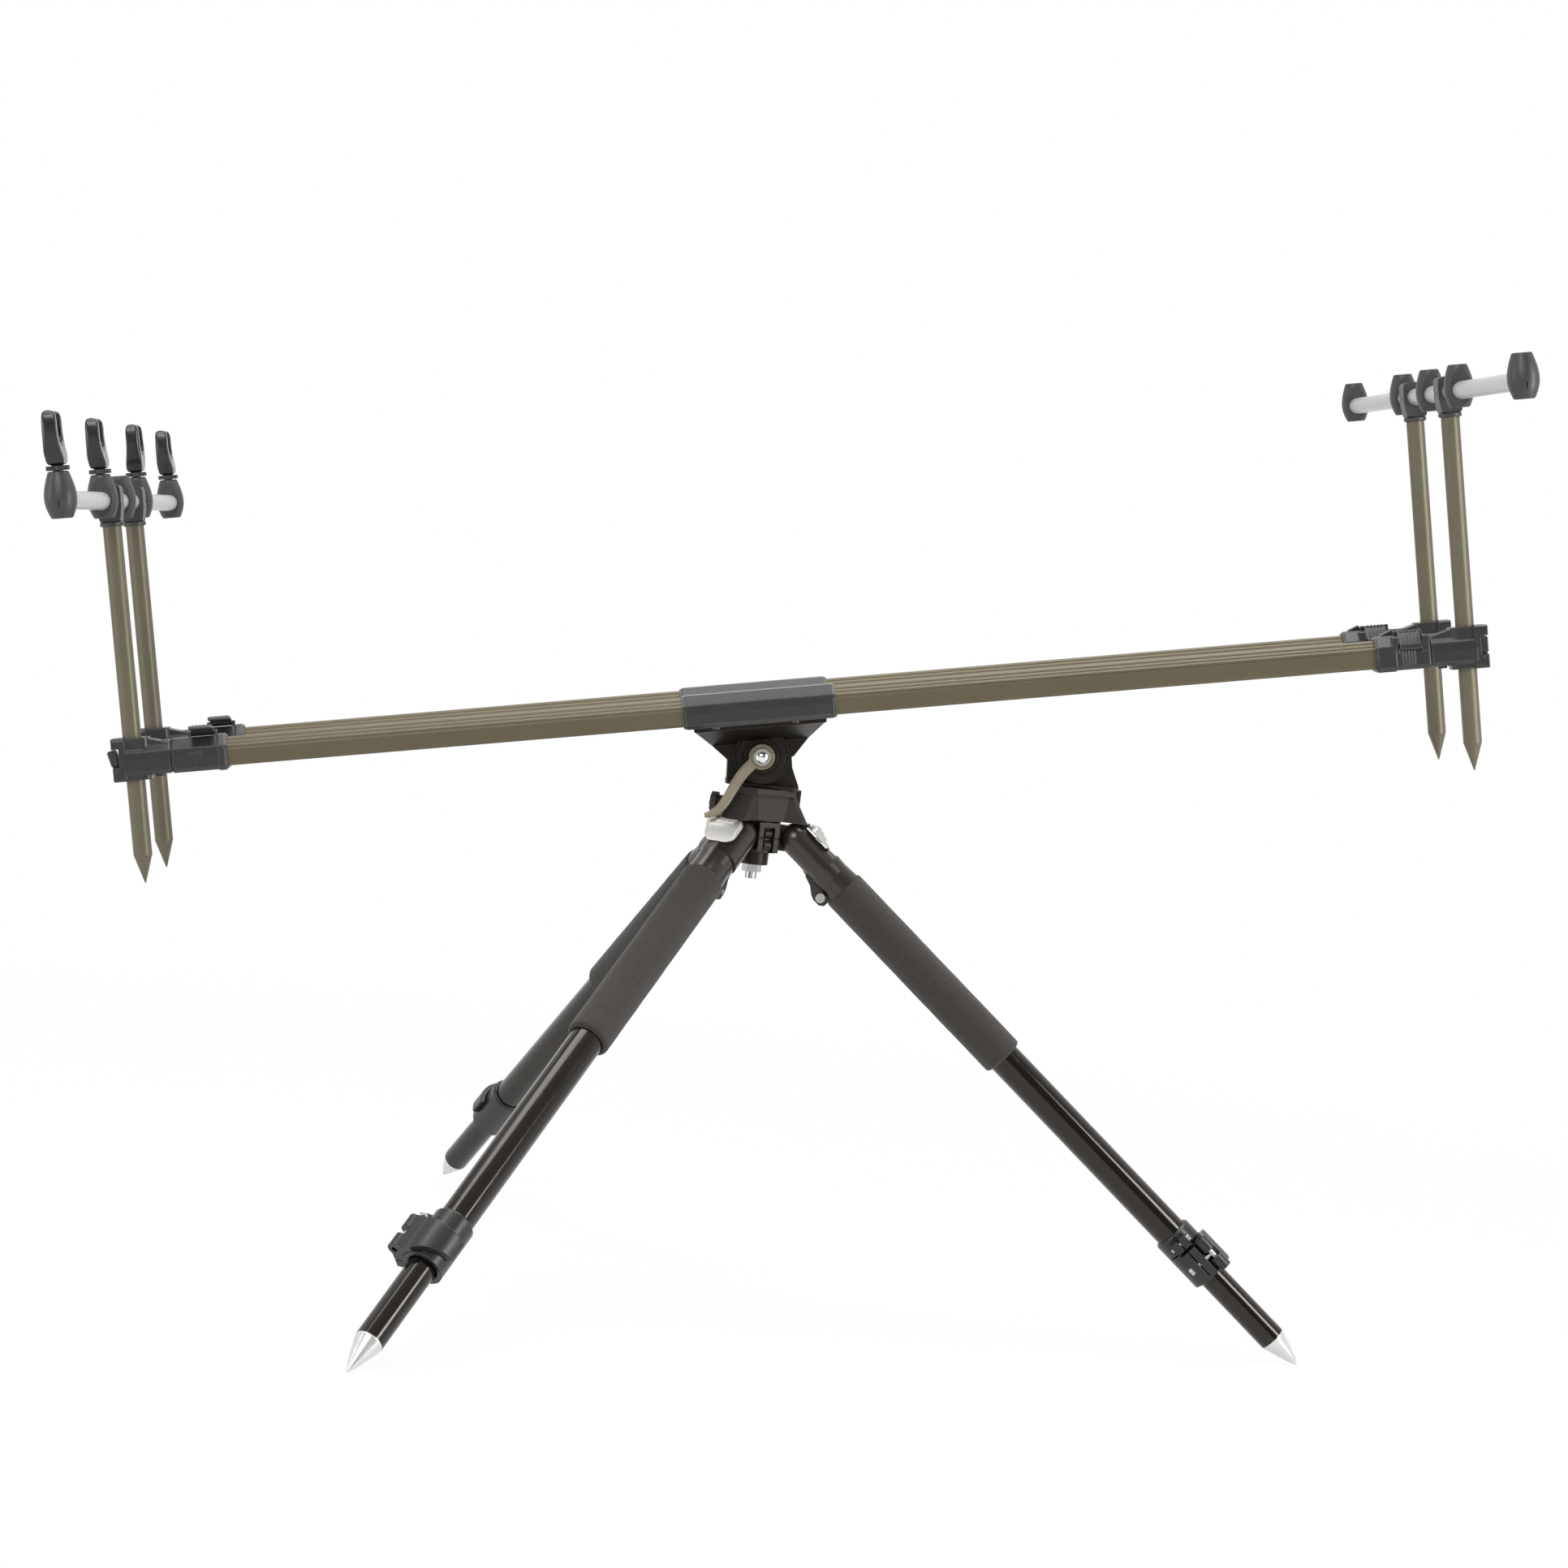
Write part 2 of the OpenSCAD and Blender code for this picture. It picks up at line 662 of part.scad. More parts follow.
// S-shaped outline of the tilt lever; w scales its breadth
module lever_2d(w) {
  n = 20;
  path = [for (i = [0 : n]) curve([0, 0], [-27.6, -21.4], [-20.9, -51.9], [-43.6, -56.2], i / n)];
  half = [for (i = [0 : n]) w * (5.2 - 1.9 * i / n - 1.4 * pow(i / n, 12))];
  side = [for (i = [0 : n])
    let (d = path[min(i + 1, n)] - path[max(i - 1, 0)])
      [-d[1], d[0]] / norm(d)];
  polygon(concat(
    [for (i = [0 : n]) path[i] + half[i] * side[i]],
    [for (i = [n : -1 : 0]) path[i] - half[i] * side[i]]));
}

// Tilt lever with a round hub and a crowned arm
module tilt_lever()
  color(c_lever)
    on_yoke()
      difference() {
        union() {
          translate([0, lever_y - 6.5, 0]) rod_y(11, 13);
          translate([0, lever_y - 8, 0]) rotate([90, 0, 0]) linear_extrude(3.4) lever_2d(1);
          translate([0, lever_y - 7, 0]) rotate([90, 0, 0]) linear_extrude(5.6) lever_2d(0.72);
        }
        translate([0, lever_y - 6.5, 0]) rod_y(4 + run, 30);
        // ring groove in the hub's face
        translate([0, lever_y - 13, 0]) difference() { rod_y(9.6, 1.4); rod_y(8.2, 4); }
      }

// Beams

module beams()
  color(c_olive)
    on_beam()
      for (y = [-half_gap, half_gap])
        translate([0, y, 0])
          difference() {
            bar_of_section(-beam_len / 2, beam_len / 2, 0, true);
            bar_of_section(-beam_len, beam_len, -beam_wall);
          }

// Clamping sleeves of the saddle with the screws under them
module saddle_sleeves()
  color(c_grey)
    on_head()
      for (y = [-half_gap, half_gap])
        translate([0, y, beam_up]) {
          difference() {
            union() {
              bar_of_section(-sleeve_len / 2 + 2, sleeve_len / 2 - 2, shell_wall, false, 0.9);
              bar_of_section(-sleeve_len / 2, sleeve_len / 2, shell_wall - 0.8);
            }
            bar_of_section(-sleeve_len, sleeve_len, seat);
            for (x = [-38, 30])
              translate([x, y > 0 ? 7 : -7, -beam_h / 2 - 3])
                cylinder(r = 1.5 + seat, h = 6);
          }
          for (x = [-38, 30])
            translate([x, y > 0 ? 7 : -7, -beam_h / 2 - shell_wall - seat])
              rotate([180, 0, 0])
                cap_screw(1.5, 3.2, 1.6, 1.4);
        }

// Collar on a beam end; pos is where its flap lever sits, cheeks raises its near side
module beam_collar(pos, cheeks) {
  a = beam_w / 2 + shell_wall;
  b = beam_h / 2 + shell_wall;
  c = 7 + 0.586 * shell_wall;
  slot = lever_len / 2 + gap;
  difference() {
    union() {
      bar_of_section(collar_x, collar_x + collar_len, shell_wall - 0.5);
      bar_of_section(collar_x + 1.2, collar_x + collar_len - 0.8, shell_wall, false, 0.5);
      // raised shoulders beside the lever
      bar_of_section(collar_x + 2, collar_x + pos - lever_len / 2 - 3.4, shell_wall + 0.8);
      // stiffening ribs on the sides
      for (i = [0 : 4], y = [-1, 1])
        translate([collar_x + 22.5 + 2.6 * i, y * (beam_w / 2 + shell_wall - 0.4), 1.5 - beam_h / 2])
          cylinder(r = 0.75, h = beam_h / 2 + 0.4, $fn = 24);
      // hinge lugs of the flap lever
      for (x = [-1, 1])
        translate([collar_x + pos + x * (lever_len / 2 + gap + 1.2) - 1.2, -3.4, b - 1])
          cube([2.4, 6.4, 5.6]);
      if (cheeks) {
        // upright cheeks either side of the lever
        for (x = [[14, pos - slot], [pos + slot, collar_len - 0.8]])
          translate([collar_x + x[0], 0, 0])
            rotate([90, 0, 90])
              linear_extrude(x[1] - x[0])
                polygon([[1 - a, b - c - 6], [-a - 0.6, b - c - 5], [-a - 0.6, b - 1],
                         [0.4 - a, b], [c - a, b], [c - a, b - 1]]);
        // thumb ramp behind the lever
        translate([collar_x, 8, 0])
          rotate([90, 0, 0])
            linear_extrude(7)
              polygon([[7, b - 1], [7, b + 1.6], [16.5, b + 5.4], [19.5, b - 1]]);
      }
    }
    bar_of_section(collar_x - 1, beam_len / 2 + seat, seat);
    bar_of_section(beam_len / 2 - 1, collar_x + collar_len + 1, -beam_wall - gap + run);
    translate([collar_x + pos, -0.6, b + 2.5])
      rotate([0, 90, 0])
        cylinder(r = 1.1 + seat, h = 40, center = true);
  }
  // hinge pin of the flap lever
  translate([collar_x + pos, -0.6, b + 2.5])
    rotate([0, 90, 0])
      cylinder(r = 1.1, h = lever_len + 5, center = true);
}

module beam_collars()
  color(c_grey)
    on_beam()
      for (s = [0, 1], y = [-1, 1])
        translate([0, y * half_gap, 0])
          mirror([s == 0 ? 1 : 0, 0, 0])
            beam_collar(lever_pos[s], s == 1);

// Flap lever that closes over the near shoulder of a collar; y is -1 for the near beam
module cam_lever(side, y, open) {
  a = beam_w / 2 + shell_wall;
  b = beam_h / 2 + shell_wall;
  c = 7 + 0.586 * shell_wall;
  x = side * (collar_x + lever_pos[side > 0 ? 1 : 0]);
  color(c_grey)
    on_beam()
      translate([x, y * half_gap - 0.6, b + 2.5])
        rotate([-open, 0, 0])
          translate([0, 0.6, -b - 2.5])
            difference() {
              union() {
                translate([-lever_len / 2, 0, 0])
                  rotate([90, 0, 90])
                    linear_extrude(lever_len)
                      polygon([[-0.6, b + 0.4], [c - a - 0.3, b + 0.4], [-a - 0.4, b - c - 0.2],
                               [-a - 0.4, b - c - 2.6], [-a - 2.4, b - c - 3], [-a - 2.7, b - c - 1],
                               [-a - 2, b - c + 1.2], [c - a - 1.6, b + 2.2], [c - a + 0.4, b + 3.2],
                               [-0.6, b + 4.6]]);
                translate([0, -0.6, b + 2.5])
                  rotate([0, 90, 0])
                    cylinder(r = 2.1, h = lever_len, center = true);
                // finger ribs over the shoulder
                for (i = [-2 : 2])
                  translate([i * 3.1, c / 2 - a - 1.8, b - c / 2 + 1.7])
                    rotate([45, 0, 0])
                      rod_y(0.8, 8);
              }
              translate([0, -0.6, b + 2.5])
                rotate([0, 90, 0])
                  cylinder(r = 1.1 + run, h = 60, center = true);
            }
}

// Sliding ends

module inner_tubes(side)
  color(c_olive)
    on_end(side)
      for (y = [-half_gap, half_gap])
        translate([0, y, 0])
          difference() {
            bar_of_section(block_x + 21 - inner_len, block_x + 21, -beam_wall - gap);
            bar_of_section(0, 900, -beam_wall - gap - 1.5);
          }

// End block: a socket for the inner tube, a boss round the upright and a plate for the clamp lever
module end_block()
  difference() {
    union() {
      bar_of_section(block_x, half_span + 6.6, shell_wall - 0.9);
      bar_of_section(block_x + 1, half_span + 7.2, shell_wall - 0.4, false, 0.5);
      translate([half_span - 1.2, 0, -18]) linear_extrude(36) plate_2d(27, 22, 6);
      translate([half_span + 6, 0, 0]) rotate([90, 0, 90]) linear_extrude(11) plate_2d(25.8, 37, 3);
      // gusset from the socket up to the boss
      translate([0, 8.6, 0])
        rotate([90, 0, 0])
          linear_extrude(17.2)
            polygon([[half_span - 31, beam_h / 2], [half_span - 12, 17.4], [half_span, 17.4],
                     [half_span, -17.4], [half_span - 12, -17.4], [half_span - 19, -beam_h / 2]]);
    }
    bar_of_section(block_x - 1, block_x + 21 + seat, -beam_wall - gap + seat);
    translate([half_span, 0, -30]) cylinder(r = up_r + run, h = 60);
    // recess for the clamp lever; ears stay beside its barrel
    translate([half_span + 11, -9, -11.4]) cube([10, 18, 21]);
    translate([half_span + 11, -20, -6.4]) cube([10, 40, 16]);
    translate([half_span + 14.2, 0, -8.6]) rod_y(1.3 + seat, 40);
    // clamp slot that opens the upright's bore towards the end face
    translate([half_span + 6, -0.8, -30]) cube([20, 1.6, 60]);
    translate([block_x + 11, 0, -20]) cylinder(r = 2.2 + seat, h = 9);
  }

module end_blocks(side)
  color(c_grey)
    for (y = [-1, 1])
      on_end(side)
        translate([0, y * half_gap, 0]) {
          end_block();
          translate([half_span + 14.2, 0, -8.6]) rod_y(1.3, 25);
          // screw that holds the inner tube
          translate([block_x + 11, 0, -beam_h / 2 - shell_wall + 0.4 - seat])
            rotate([180, 0, 0])
              cap_screw(2.2, 4, 2.2, 2.2);
        }

// Clamp lever in the end plate of a block, hinged at its foot
module block_lever(side, y, open)
  color(c_grey)
    on_end(side)
      translate([half_span + 14.2, side * y * half_gap, -8.6])
        rotate([0, open, 0])
          difference() {
            union() {
              rod_y(2.4, 17);
              translate([0, 8.5, 0])
                rotate([90, 0, 0])
                  linear_extrude(17)
                    polygon([[-2.4, 0], [-2.7, 4], [-2.7, 10], [2.4, 10], [2.4, 0]]);
              translate([0, 12.4, 0])
                rotate([90, 0, 0])
                  linear_extrude(24.8)
                    polygon([[-2.7, 4.2], [-2.7, 16], [-1.4, 17.6], [1.6, 17.6], [2.4, 16.4], [2.4, 4.2]]);
              for (i = [0 : 4])
                translate([2, 0, 5.4 + 2.5 * i])
                  rod_y(0.9, 23.6);
            }
            rod_y(1.3 + run, 40);
          }

// Uprights and bars

module uprights(side)
  color(c_olive)
    on_beam()
      for (y = [-half_gap, half_gap])
        translate([side * half_span, y, 0])
          rotate_extrude()
            polygon([[0, -upright_low - upright_tip], [0.5, -upright_low - upright_tip + 0.4],
                     [up_r - 0.4, -upright_low - 0.8], [up_r, -upright_low], [up_r, bar_up - 9],
                     [up_r - 1.5, bar_up - 9], [up_r - 1.5, -upright_low + 6], [0, -upright_low + 6]]);

// Cross blocks that join the uprights to the bar, each with its ring nut
module cross_blocks(side)
  color(c_grey)
    on_bar(side)
      for (y = [-half_gap, half_gap])
        translate([0, y, 0]) {
          difference() {
            translate([0, 10, 0])
              rotate([90, 0, 0])
                linear_extrude(20)
                  polygon([[-8.6, -17], [8.6, -17], [9.6, -12], [10.6, -5], [10.8, -1], [10, 0],
                           [10.8, 1], [10.6, 9.5], [9.4, 12.4], [5, 13.5], [-5, 13.5], [-9.4, 12.4],
                           [-10.6, 9.5], [-10.8, 1], [-10, 0], [-10.8, -1], [-10.6, -5], [-9.6, -12]]);
            rod_y(bar_d / 2 + seat, 40);
            translate([0, 0, -18]) cylinder(r = up_r + seat, h = 9 + seat);
          }
          translate([0, 0, -21.5])
            difference() {
              rotate_extrude()
                polygon([[up_r + seat, 0], [9.2, 0], [10, 1], [10, 3.2], [9.2, 4.5 - seat],
                         [up_r + seat, 4.5 - seat]]);
              translate([0, 0, -1]) cylinder(r = up_r + seat, h = 8);
            }
        }

module buzz_bar(side)
  color(c_bar)
    on_bar(side)
      difference() {
        rod_y(bar_d / 2, 2 * (bulb_far - 3));
        rod_y(bar_d / 2 - 1.5, 2 * bulb_far);
      }

// Turned outline of a bulb: flat foot, full waist, flat top
function bulb_r(z) =
  let (mid = 1.3 * bulb_k)
    z < mid
      ? bulb_waist * (0.64 + 0.36 * pow(sin(90 * (z - bulb_lo) / (mid - bulb_lo)), 0.9))
      : bulb_waist * (0.625 + 0.375 * cos(90 * (z - mid) / (bulb_hi - mid)));

module bulb_body()
  rotate_extrude()
    polygon(concat(
      [[0, bulb_lo], [7.6 * bulb_k, bulb_lo]],
      [for (i = [0 : 18]) let (z = bulb_lo + 0.6 + (bulb_hi - bulb_lo - 1.2) * i / 18) [bulb_r(z), z]],
      [[7.2 * bulb_k, bulb_hi], [0, bulb_hi]]));

// Bulb on a bar: inner ones are slabs with flat faces, end ones keep their outer dome
module bulb(y)
  translate([0, y, 0])
    difference() {
      intersection() {
        bulb_body();
        translate([-20, y < -200 ? -20 : -bulb_slab, -20])
          cube([40, abs(y) > 200 ? 20 + bulb_slab : 2 * bulb_slab, 60]);
      }
      if (abs(y) > 200)
        translate([0, y > 0 ? -10 : 10, 0]) rod_y(bar_d / 2 + seat, 14.5);
      else
        rod_y(bar_d / 2 + seat, 40);
      translate([0, 0, bulb_hi - 12]) cylinder(r = socket_r, h = 20);
      // parting mark on the end bulbs
      if (abs(y) > 200)
        translate([-0.6, y > 0 ? 11 : -13.5, -7]) cube([1.2, 2.5, 6]);
    }

module bulbs(side)
  color(c_grey)
    on_bar(side)
      for (y = [-bulb_far, -bulb_near, 0, bulb_near, bulb_far])
        bulb(y);

// Closed smooth outline through the points p
function knot(a, b, c, d, t) =
  0.5 * (2 * b + (c - a) * t + (2 * a - 5 * b + 4 * c - d) * t * t + (3 * b - a - 3 * c + d) * pow(t, 3));
function smooth(p, n) =
  let (m = len(p))
    [for (i = [0 : m - 1], k = [0 : n - 1])
      knot(p[(i + m - 1) % m], p[i], p[(i + 1) % m], p[(i + 2) % m], k / n)];

// Fork of a rod rest: a swept side outline crossed with the open cradle seen from the front
module rod_rest()
  union() {
    intersection() {
      translate([0, 26 * rest_k, 0])
        rotate([90, 0, 0])
          linear_extrude(52 * rest_k)
            polygon(rest_k * smooth(
              [[-5.4, 0], [-7.4, 4], [-7.8, 15], [-7.4, 29], [-6.6, 39], [-3.4, 42], [1.8, 41.4],
               [4, 37], [4.2, 26], [5, 16], [6.5, 7.5], [6.8, 3], [5, 0]], 3));
      translate([-15, 0, 0])
        rotate([90, 0, 90])
          linear_extrude(30)
            difference() {
              polygon(rest_k * smooth(
                [[7.5, 0], [11.6, 4], [15.2, 10], [17.4, 19], [18, 30], [17, 39], [13.6, 42.4],
                 [-13.6, 42.4], [-17, 39], [-18, 30], [-17.4, 19], [-15.2, 10], [-11.6, 4],
                 [-7.5, 0]], 3));
              translate([0, 24 * rest_k]) circle(r = 9.6 * rest_k);
              polygon(rest_k * [[-9.6, 24], [9.6, 24], [11, 50], [-11, 50]]);
            }
      translate([-0.6 * rest_k, 0, -2])
        linear_extrude(48 * rest_k + 2)
          plate_2d(15 * rest_k, 36.4 * rest_k, 5.2 * rest_k);
    }
    translate([0, 0, -15]) cylinder(r = socket_r - seat, h = 16);
  }

module rod_rests()
  color([0.09, 0.09, 0.09])
    on_bar(-1)
      for (y = [-bulb_far, -bulb_near, bulb_near, bulb_far])
        translate([0, y, rest_z])
          rotate([0, 0, y == bulb_near ? 180 : 0])
            rod_rest();

module lock_rings()
  color(c_grey)
    on_bar(-1)
      for (y = [-bulb_far, -bulb_near, bulb_near, bulb_far])
        translate([0, y, bulb_hi + 0.8])
          knurled(9.2, socket_r + seat, 3.4, 40);

crown_spider();
crown_cowl();
crown_fasteners();
leg_casting(leg_az[0]);  // leg_casting_right
upper_tube(leg_az[0]);  // upper_tube_right
leg_grip(leg_az[0]);  // leg_grip_right
lock_collar(leg_az[0]);  // lock_collar_right
leg_screws(leg_az[0]);  // leg_screws_right
lock_lever(leg_az[0]);  // lock_lever_right
lower_tube(leg_az[0]);  // lower_tube_right
spike(leg_az[0]);  // spike_right
angle_tab(leg_az[0]);  // angle_tab_right
leg_casting(leg_az[1]);  // leg_casting_near
upper_tube(leg_az[1]);  // upper_tube_near
leg_grip(leg_az[1]);  // leg_grip_near
lock_collar(leg_az[1]);  // lock_collar_near
leg_screws(leg_az[1]);  // leg_screws_near
lock_lever(leg_az[1]);  // lock_lever_near
lower_tube(leg_az[1]);  // lower_tube_near
spike(leg_az[1]);  // spike_near
angle_tab(leg_az[1]);  // angle_tab_near
leg_casting(leg_az[2]);  // leg_casting_back
upper_tube(leg_az[2]);  // upper_tube_back
leg_grip(leg_az[2]);  // leg_grip_back
lock_collar(leg_az[2]);  // lock_collar_back
leg_screws(leg_az[2]);  // leg_screws_back
lock_lever(leg_az[2]);  // lock_lever_back
lower_tube(leg_az[2]);  // lower_tube_back
spike(leg_az[2]);  // spike_back
angle_tab(leg_az[2]);  // angle_tab_back
pan_yoke();
pan_knob();
tilt_plate();
head_fasteners();
tilt_lever();
saddle_sleeves();
beams();
beam_collars();
cam_lever(-1, -1, cam_open);  // cam_lever_left_near
cam_lever(-1, 1, cam_open);  // cam_lever_left_far
cam_lever(1, -1, 0);  // cam_lever_right_near
cam_lever(1, 1, 0);  // cam_lever_right_far
inner_tubes(-1);  // inner_tubes_left
inner_tubes(1);  // inner_tubes_right
end_blocks(-1);  // end_blocks_left
end_blocks(1);  // end_blocks_right
block_lever(-1, -1, block_open);  // block_lever_left_near
block_lever(-1, 1, block_open);  // block_lever_left_far
block_lever(1, -1, 0);  // block_lever_right_near
block_lever(1, 1, 0);  // block_lever_right_far
uprights(-1);  // uprights_left
uprights(1);  // uprights_right
cross_blocks(-1);  // cross_blocks_left
cross_blocks(1);  // cross_blocks_right
buzz_bar(-1);  // buzz_bar_left
buzz_bar(1);  // buzz_bar_right
bulbs(-1);  // bulbs_left
bulbs(1);  // bulbs_right
rod_rests();
lock_rings();
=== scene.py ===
"""Dresses the rod pod's CAD frame: finishes, foam grips, rod rests, small trim and a studio."""

import json
import math

import bmesh
import bpy
from mathutils import Matrix, Vector, noise


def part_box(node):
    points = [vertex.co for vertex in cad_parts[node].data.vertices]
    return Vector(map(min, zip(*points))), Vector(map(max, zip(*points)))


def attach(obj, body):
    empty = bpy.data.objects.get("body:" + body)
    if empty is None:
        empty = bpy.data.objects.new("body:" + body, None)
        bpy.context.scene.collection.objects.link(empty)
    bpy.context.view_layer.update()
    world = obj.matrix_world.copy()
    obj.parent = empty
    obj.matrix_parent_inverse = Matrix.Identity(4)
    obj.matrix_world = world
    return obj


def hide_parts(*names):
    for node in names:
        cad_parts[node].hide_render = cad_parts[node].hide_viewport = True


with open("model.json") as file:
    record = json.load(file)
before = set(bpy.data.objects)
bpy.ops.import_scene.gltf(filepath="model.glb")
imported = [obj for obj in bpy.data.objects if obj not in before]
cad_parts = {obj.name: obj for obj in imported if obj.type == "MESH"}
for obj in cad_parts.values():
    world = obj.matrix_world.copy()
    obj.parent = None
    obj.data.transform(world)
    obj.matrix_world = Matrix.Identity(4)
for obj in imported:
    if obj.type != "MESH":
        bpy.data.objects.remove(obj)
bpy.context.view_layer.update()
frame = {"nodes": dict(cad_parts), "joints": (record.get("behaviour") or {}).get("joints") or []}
NODES = frame["nodes"]
JOINTS = {joint["name"]: joint for joint in frame["joints"]}
LEGS = ("right", "near", "back")
ENDS = ("left", "right")
BEAMS = ("near", "far")

bl_info = {
    "name": "Rod Pod Dressing",
    "version": (1, 0, 0),
    "blender": (4, 5, 0),
    "location": "View3D > Sidebar > Rod Pod",
    "description": "Finishes and soft grips for a tripod rod pod",
    "category": "Object",
}


# Settings


class FinishSettings(bpy.types.PropertyGroup):
    """Colours of the pod's finishes."""

    cast: bpy.props.FloatVectorProperty(
        name="Castings", description="Semi-gloss paint of the leg castings", subtype="COLOR",
        default=(0.0095, 0.0082, 0.0072))
    head: bpy.props.FloatVectorProperty(
        name="Head", description="Dull black of crown, pan yoke and bridge casting",
        subtype="COLOR", default=(0.0075, 0.0056, 0.0043))
    cowl: bpy.props.FloatVectorProperty(
        name="Cowl", description="Dull charcoal of the crown's cowl", subtype="COLOR",
        default=(0.036, 0.0331, 0.0297))
    tube: bpy.props.FloatVectorProperty(
        name="Leg tubes", description="Gloss black of the leg tubes", subtype="COLOR",
        default=(0.0045, 0.0038, 0.0034))
    olive: bpy.props.FloatVectorProperty(
        name="Uprights", description="Olive anodising of the uprights", subtype="COLOR",
        default=(0.12, 0.106, 0.07))
    beam: bpy.props.FloatVectorProperty(
        name="Beams", description="Olive anodising of beams and inner tubes", subtype="COLOR",
        default=(0.11, 0.093, 0.057))
    plastic: bpy.props.FloatVectorProperty(
        name="Plastic", description="Grey moulded plastic", subtype="COLOR",
        default=(0.0185, 0.0181, 0.0174))
    sleeve: bpy.props.FloatVectorProperty(
        name="Sleeves", description="Charcoal plastic of the saddle sleeves", subtype="COLOR",
        default=(0.0275, 0.0268, 0.0255))
    bulb: bpy.props.FloatVectorProperty(
        name="Bulbs", description="Satin plastic of bulbs, rings and cross blocks", subtype="COLOR",
        default=(0.031, 0.0306, 0.0304))
    clamp: bpy.props.FloatVectorProperty(
        name="Clamps", description="Dark plastic of the leg clamps", subtype="COLOR",
        default=(0.0125, 0.0121, 0.0115))
    foam: bpy.props.FloatVectorProperty(
        name="Foam", description="Closed-cell foam of the grips", subtype="COLOR",
        default=(0.022, 0.019, 0.016))
    bar: bpy.props.FloatVectorProperty(
        name="Bars", description="Satin silver of the crossbars", subtype="COLOR",
        default=(0.46, 0.46, 0.449))
    bronze: bpy.props.FloatVectorProperty(
        name="Tilt lever", description="Bronze of the tilt lever", subtype="COLOR",
        default=(0.255, 0.222, 0.162))
    rest: bpy.props.FloatVectorProperty(
        name="Rod rests", description="Gloss black of the rod rests", subtype="COLOR",
        default=(0.0105, 0.0105, 0.0102))
    knob: bpy.props.FloatVectorProperty(
        name="Pan knob", description="Dark brown of the pan lock knob", subtype="COLOR",
        default=(0.022, 0.016, 0.012))
    spike: bpy.props.FloatVectorProperty(
        name="Spikes", description="Satin metal of the leg spikes", subtype="COLOR",
        default=(0.64, 0.64, 0.63))
    tab: bpy.props.FloatVectorProperty(
        name="Angle tabs", description="Satin metal of the angle tabs", subtype="COLOR",
        default=(0.64, 0.63, 0.59))
    steel: bpy.props.FloatVectorProperty(
        name="Bolts", description="Turned steel of bolts, pins and screws", subtype="COLOR",
        default=(0.52, 0.52, 0.505))
    cap: bpy.props.FloatVectorProperty(
        name="Bolt cap", description="Polished metal of the tilt bolt's cap", subtype="COLOR",
        default=(0.84, 0.84, 0.83))


class GripSettings(bpy.types.PropertyGroup):
    """Sizes of the foam grips."""

    start: bpy.props.FloatProperty(
        name="Start", description="Distance from the leg's hinge pin", unit="LENGTH",
        default=0.0601)
    length: bpy.props.FloatProperty(
        name="Length", description="Length of the grip", unit="LENGTH", default=0.2058)
    radius: bpy.props.FloatProperty(
        name="Radius", description="Outer radius", unit="LENGTH", default=0.019)
    bore: bpy.props.FloatProperty(
        name="Bore", description="Radius of the tube inside", unit="LENGTH", default=0.01455)
    soft: bpy.props.FloatProperty(
        name="Soft ends", description="Radius of the rounded ends", unit="LENGTH", default=0.0028)
    dent: bpy.props.FloatProperty(
        name="Dents", description="Depth of the soft unevenness", unit="LENGTH", default=0.00022)


class CapSettings(bpy.types.PropertyGroup):
    """Sizes of the polished cap in the tilt bolt's head."""

    radius: bpy.props.FloatProperty(
        name="Radius", description="Radius of the cap", unit="LENGTH", default=0.00545)
    crown: bpy.props.FloatProperty(
        name="Crown", description="Height of the dome", unit="LENGTH", default=0.0022)
    recess: bpy.props.FloatProperty(
        name="Recess", description="Depth of the seat in the bolt's head", unit="LENGTH",
        default=0.0012)


class RestSettings(bpy.types.PropertyGroup):
    """Moulding of the rod rests."""

    grain: bpy.props.FloatProperty(
        name="Grain", description="Size of the even skin's faces", unit="LENGTH", default=0.0006)
    rounds: bpy.props.IntProperty(
        name="Smoothing", description="Passes that round the moulded edges", default=14)


class StudSettings(bpy.types.PropertyGroup):
    """Finger studs on the flap levers."""

    across: bpy.props.IntProperty(
        name="Across", description="Studs in a row", default=5)
    rows: bpy.props.IntProperty(
        name="Rows", description="Rows of studs", default=2)
    pitch_across: bpy.props.FloatProperty(
        name="Pitch across", description="Distance between the studs of a row", unit="LENGTH",
        default=0.0031)
    pitch_rows: bpy.props.FloatProperty(
        name="Pitch of rows", description="Distance between the rows", unit="LENGTH",
        default=0.0022)
    radius: bpy.props.FloatProperty(
        name="Radius", description="Radius of a stud", unit="LENGTH", default=0.00075)


class StageSettings(bpy.types.PropertyGroup):
    """Light and camera of the studio."""

    key: bpy.props.FloatProperty(
        name="Key light", description="Power of the large soft light", subtype="POWER",
        default=75.0)
    fill: bpy.props.FloatProperty(
        name="Top light", description="Power of the soft light overhead", subtype="POWER",
        default=60.0)
    left: bpy.props.FloatProperty(
        name="Left strip", description="Power of the narrow light on the left", subtype="POWER",
        default=16.0)
    right: bpy.props.FloatProperty(
        name="Right strip", description="Power of the narrow light on the right", subtype="POWER",
        default=54.0)
    lens: bpy.props.FloatProperty(
        name="Lens", description="Focal length", subtype="DISTANCE_CAMERA", default=89.55)


# Node wiring


def add_node(tree, kind, settings=None, **inputs):
    """A node with its settings and inputs; _3 is the input at 3, and a socket is linked."""
    node = tree.nodes.new(kind)
    for key, value in (settings or {}).items():
        setattr(node, key, value)
    for key, value in inputs.items():
        place = int(key[1:]) if key[0] == "_" else key.replace("_", " ")
        socket = node.inputs[place]
        if isinstance(value, bpy.types.NodeSocket):
            tree.links.new(value, socket)
        else:
            socket.default_value = value
    return node


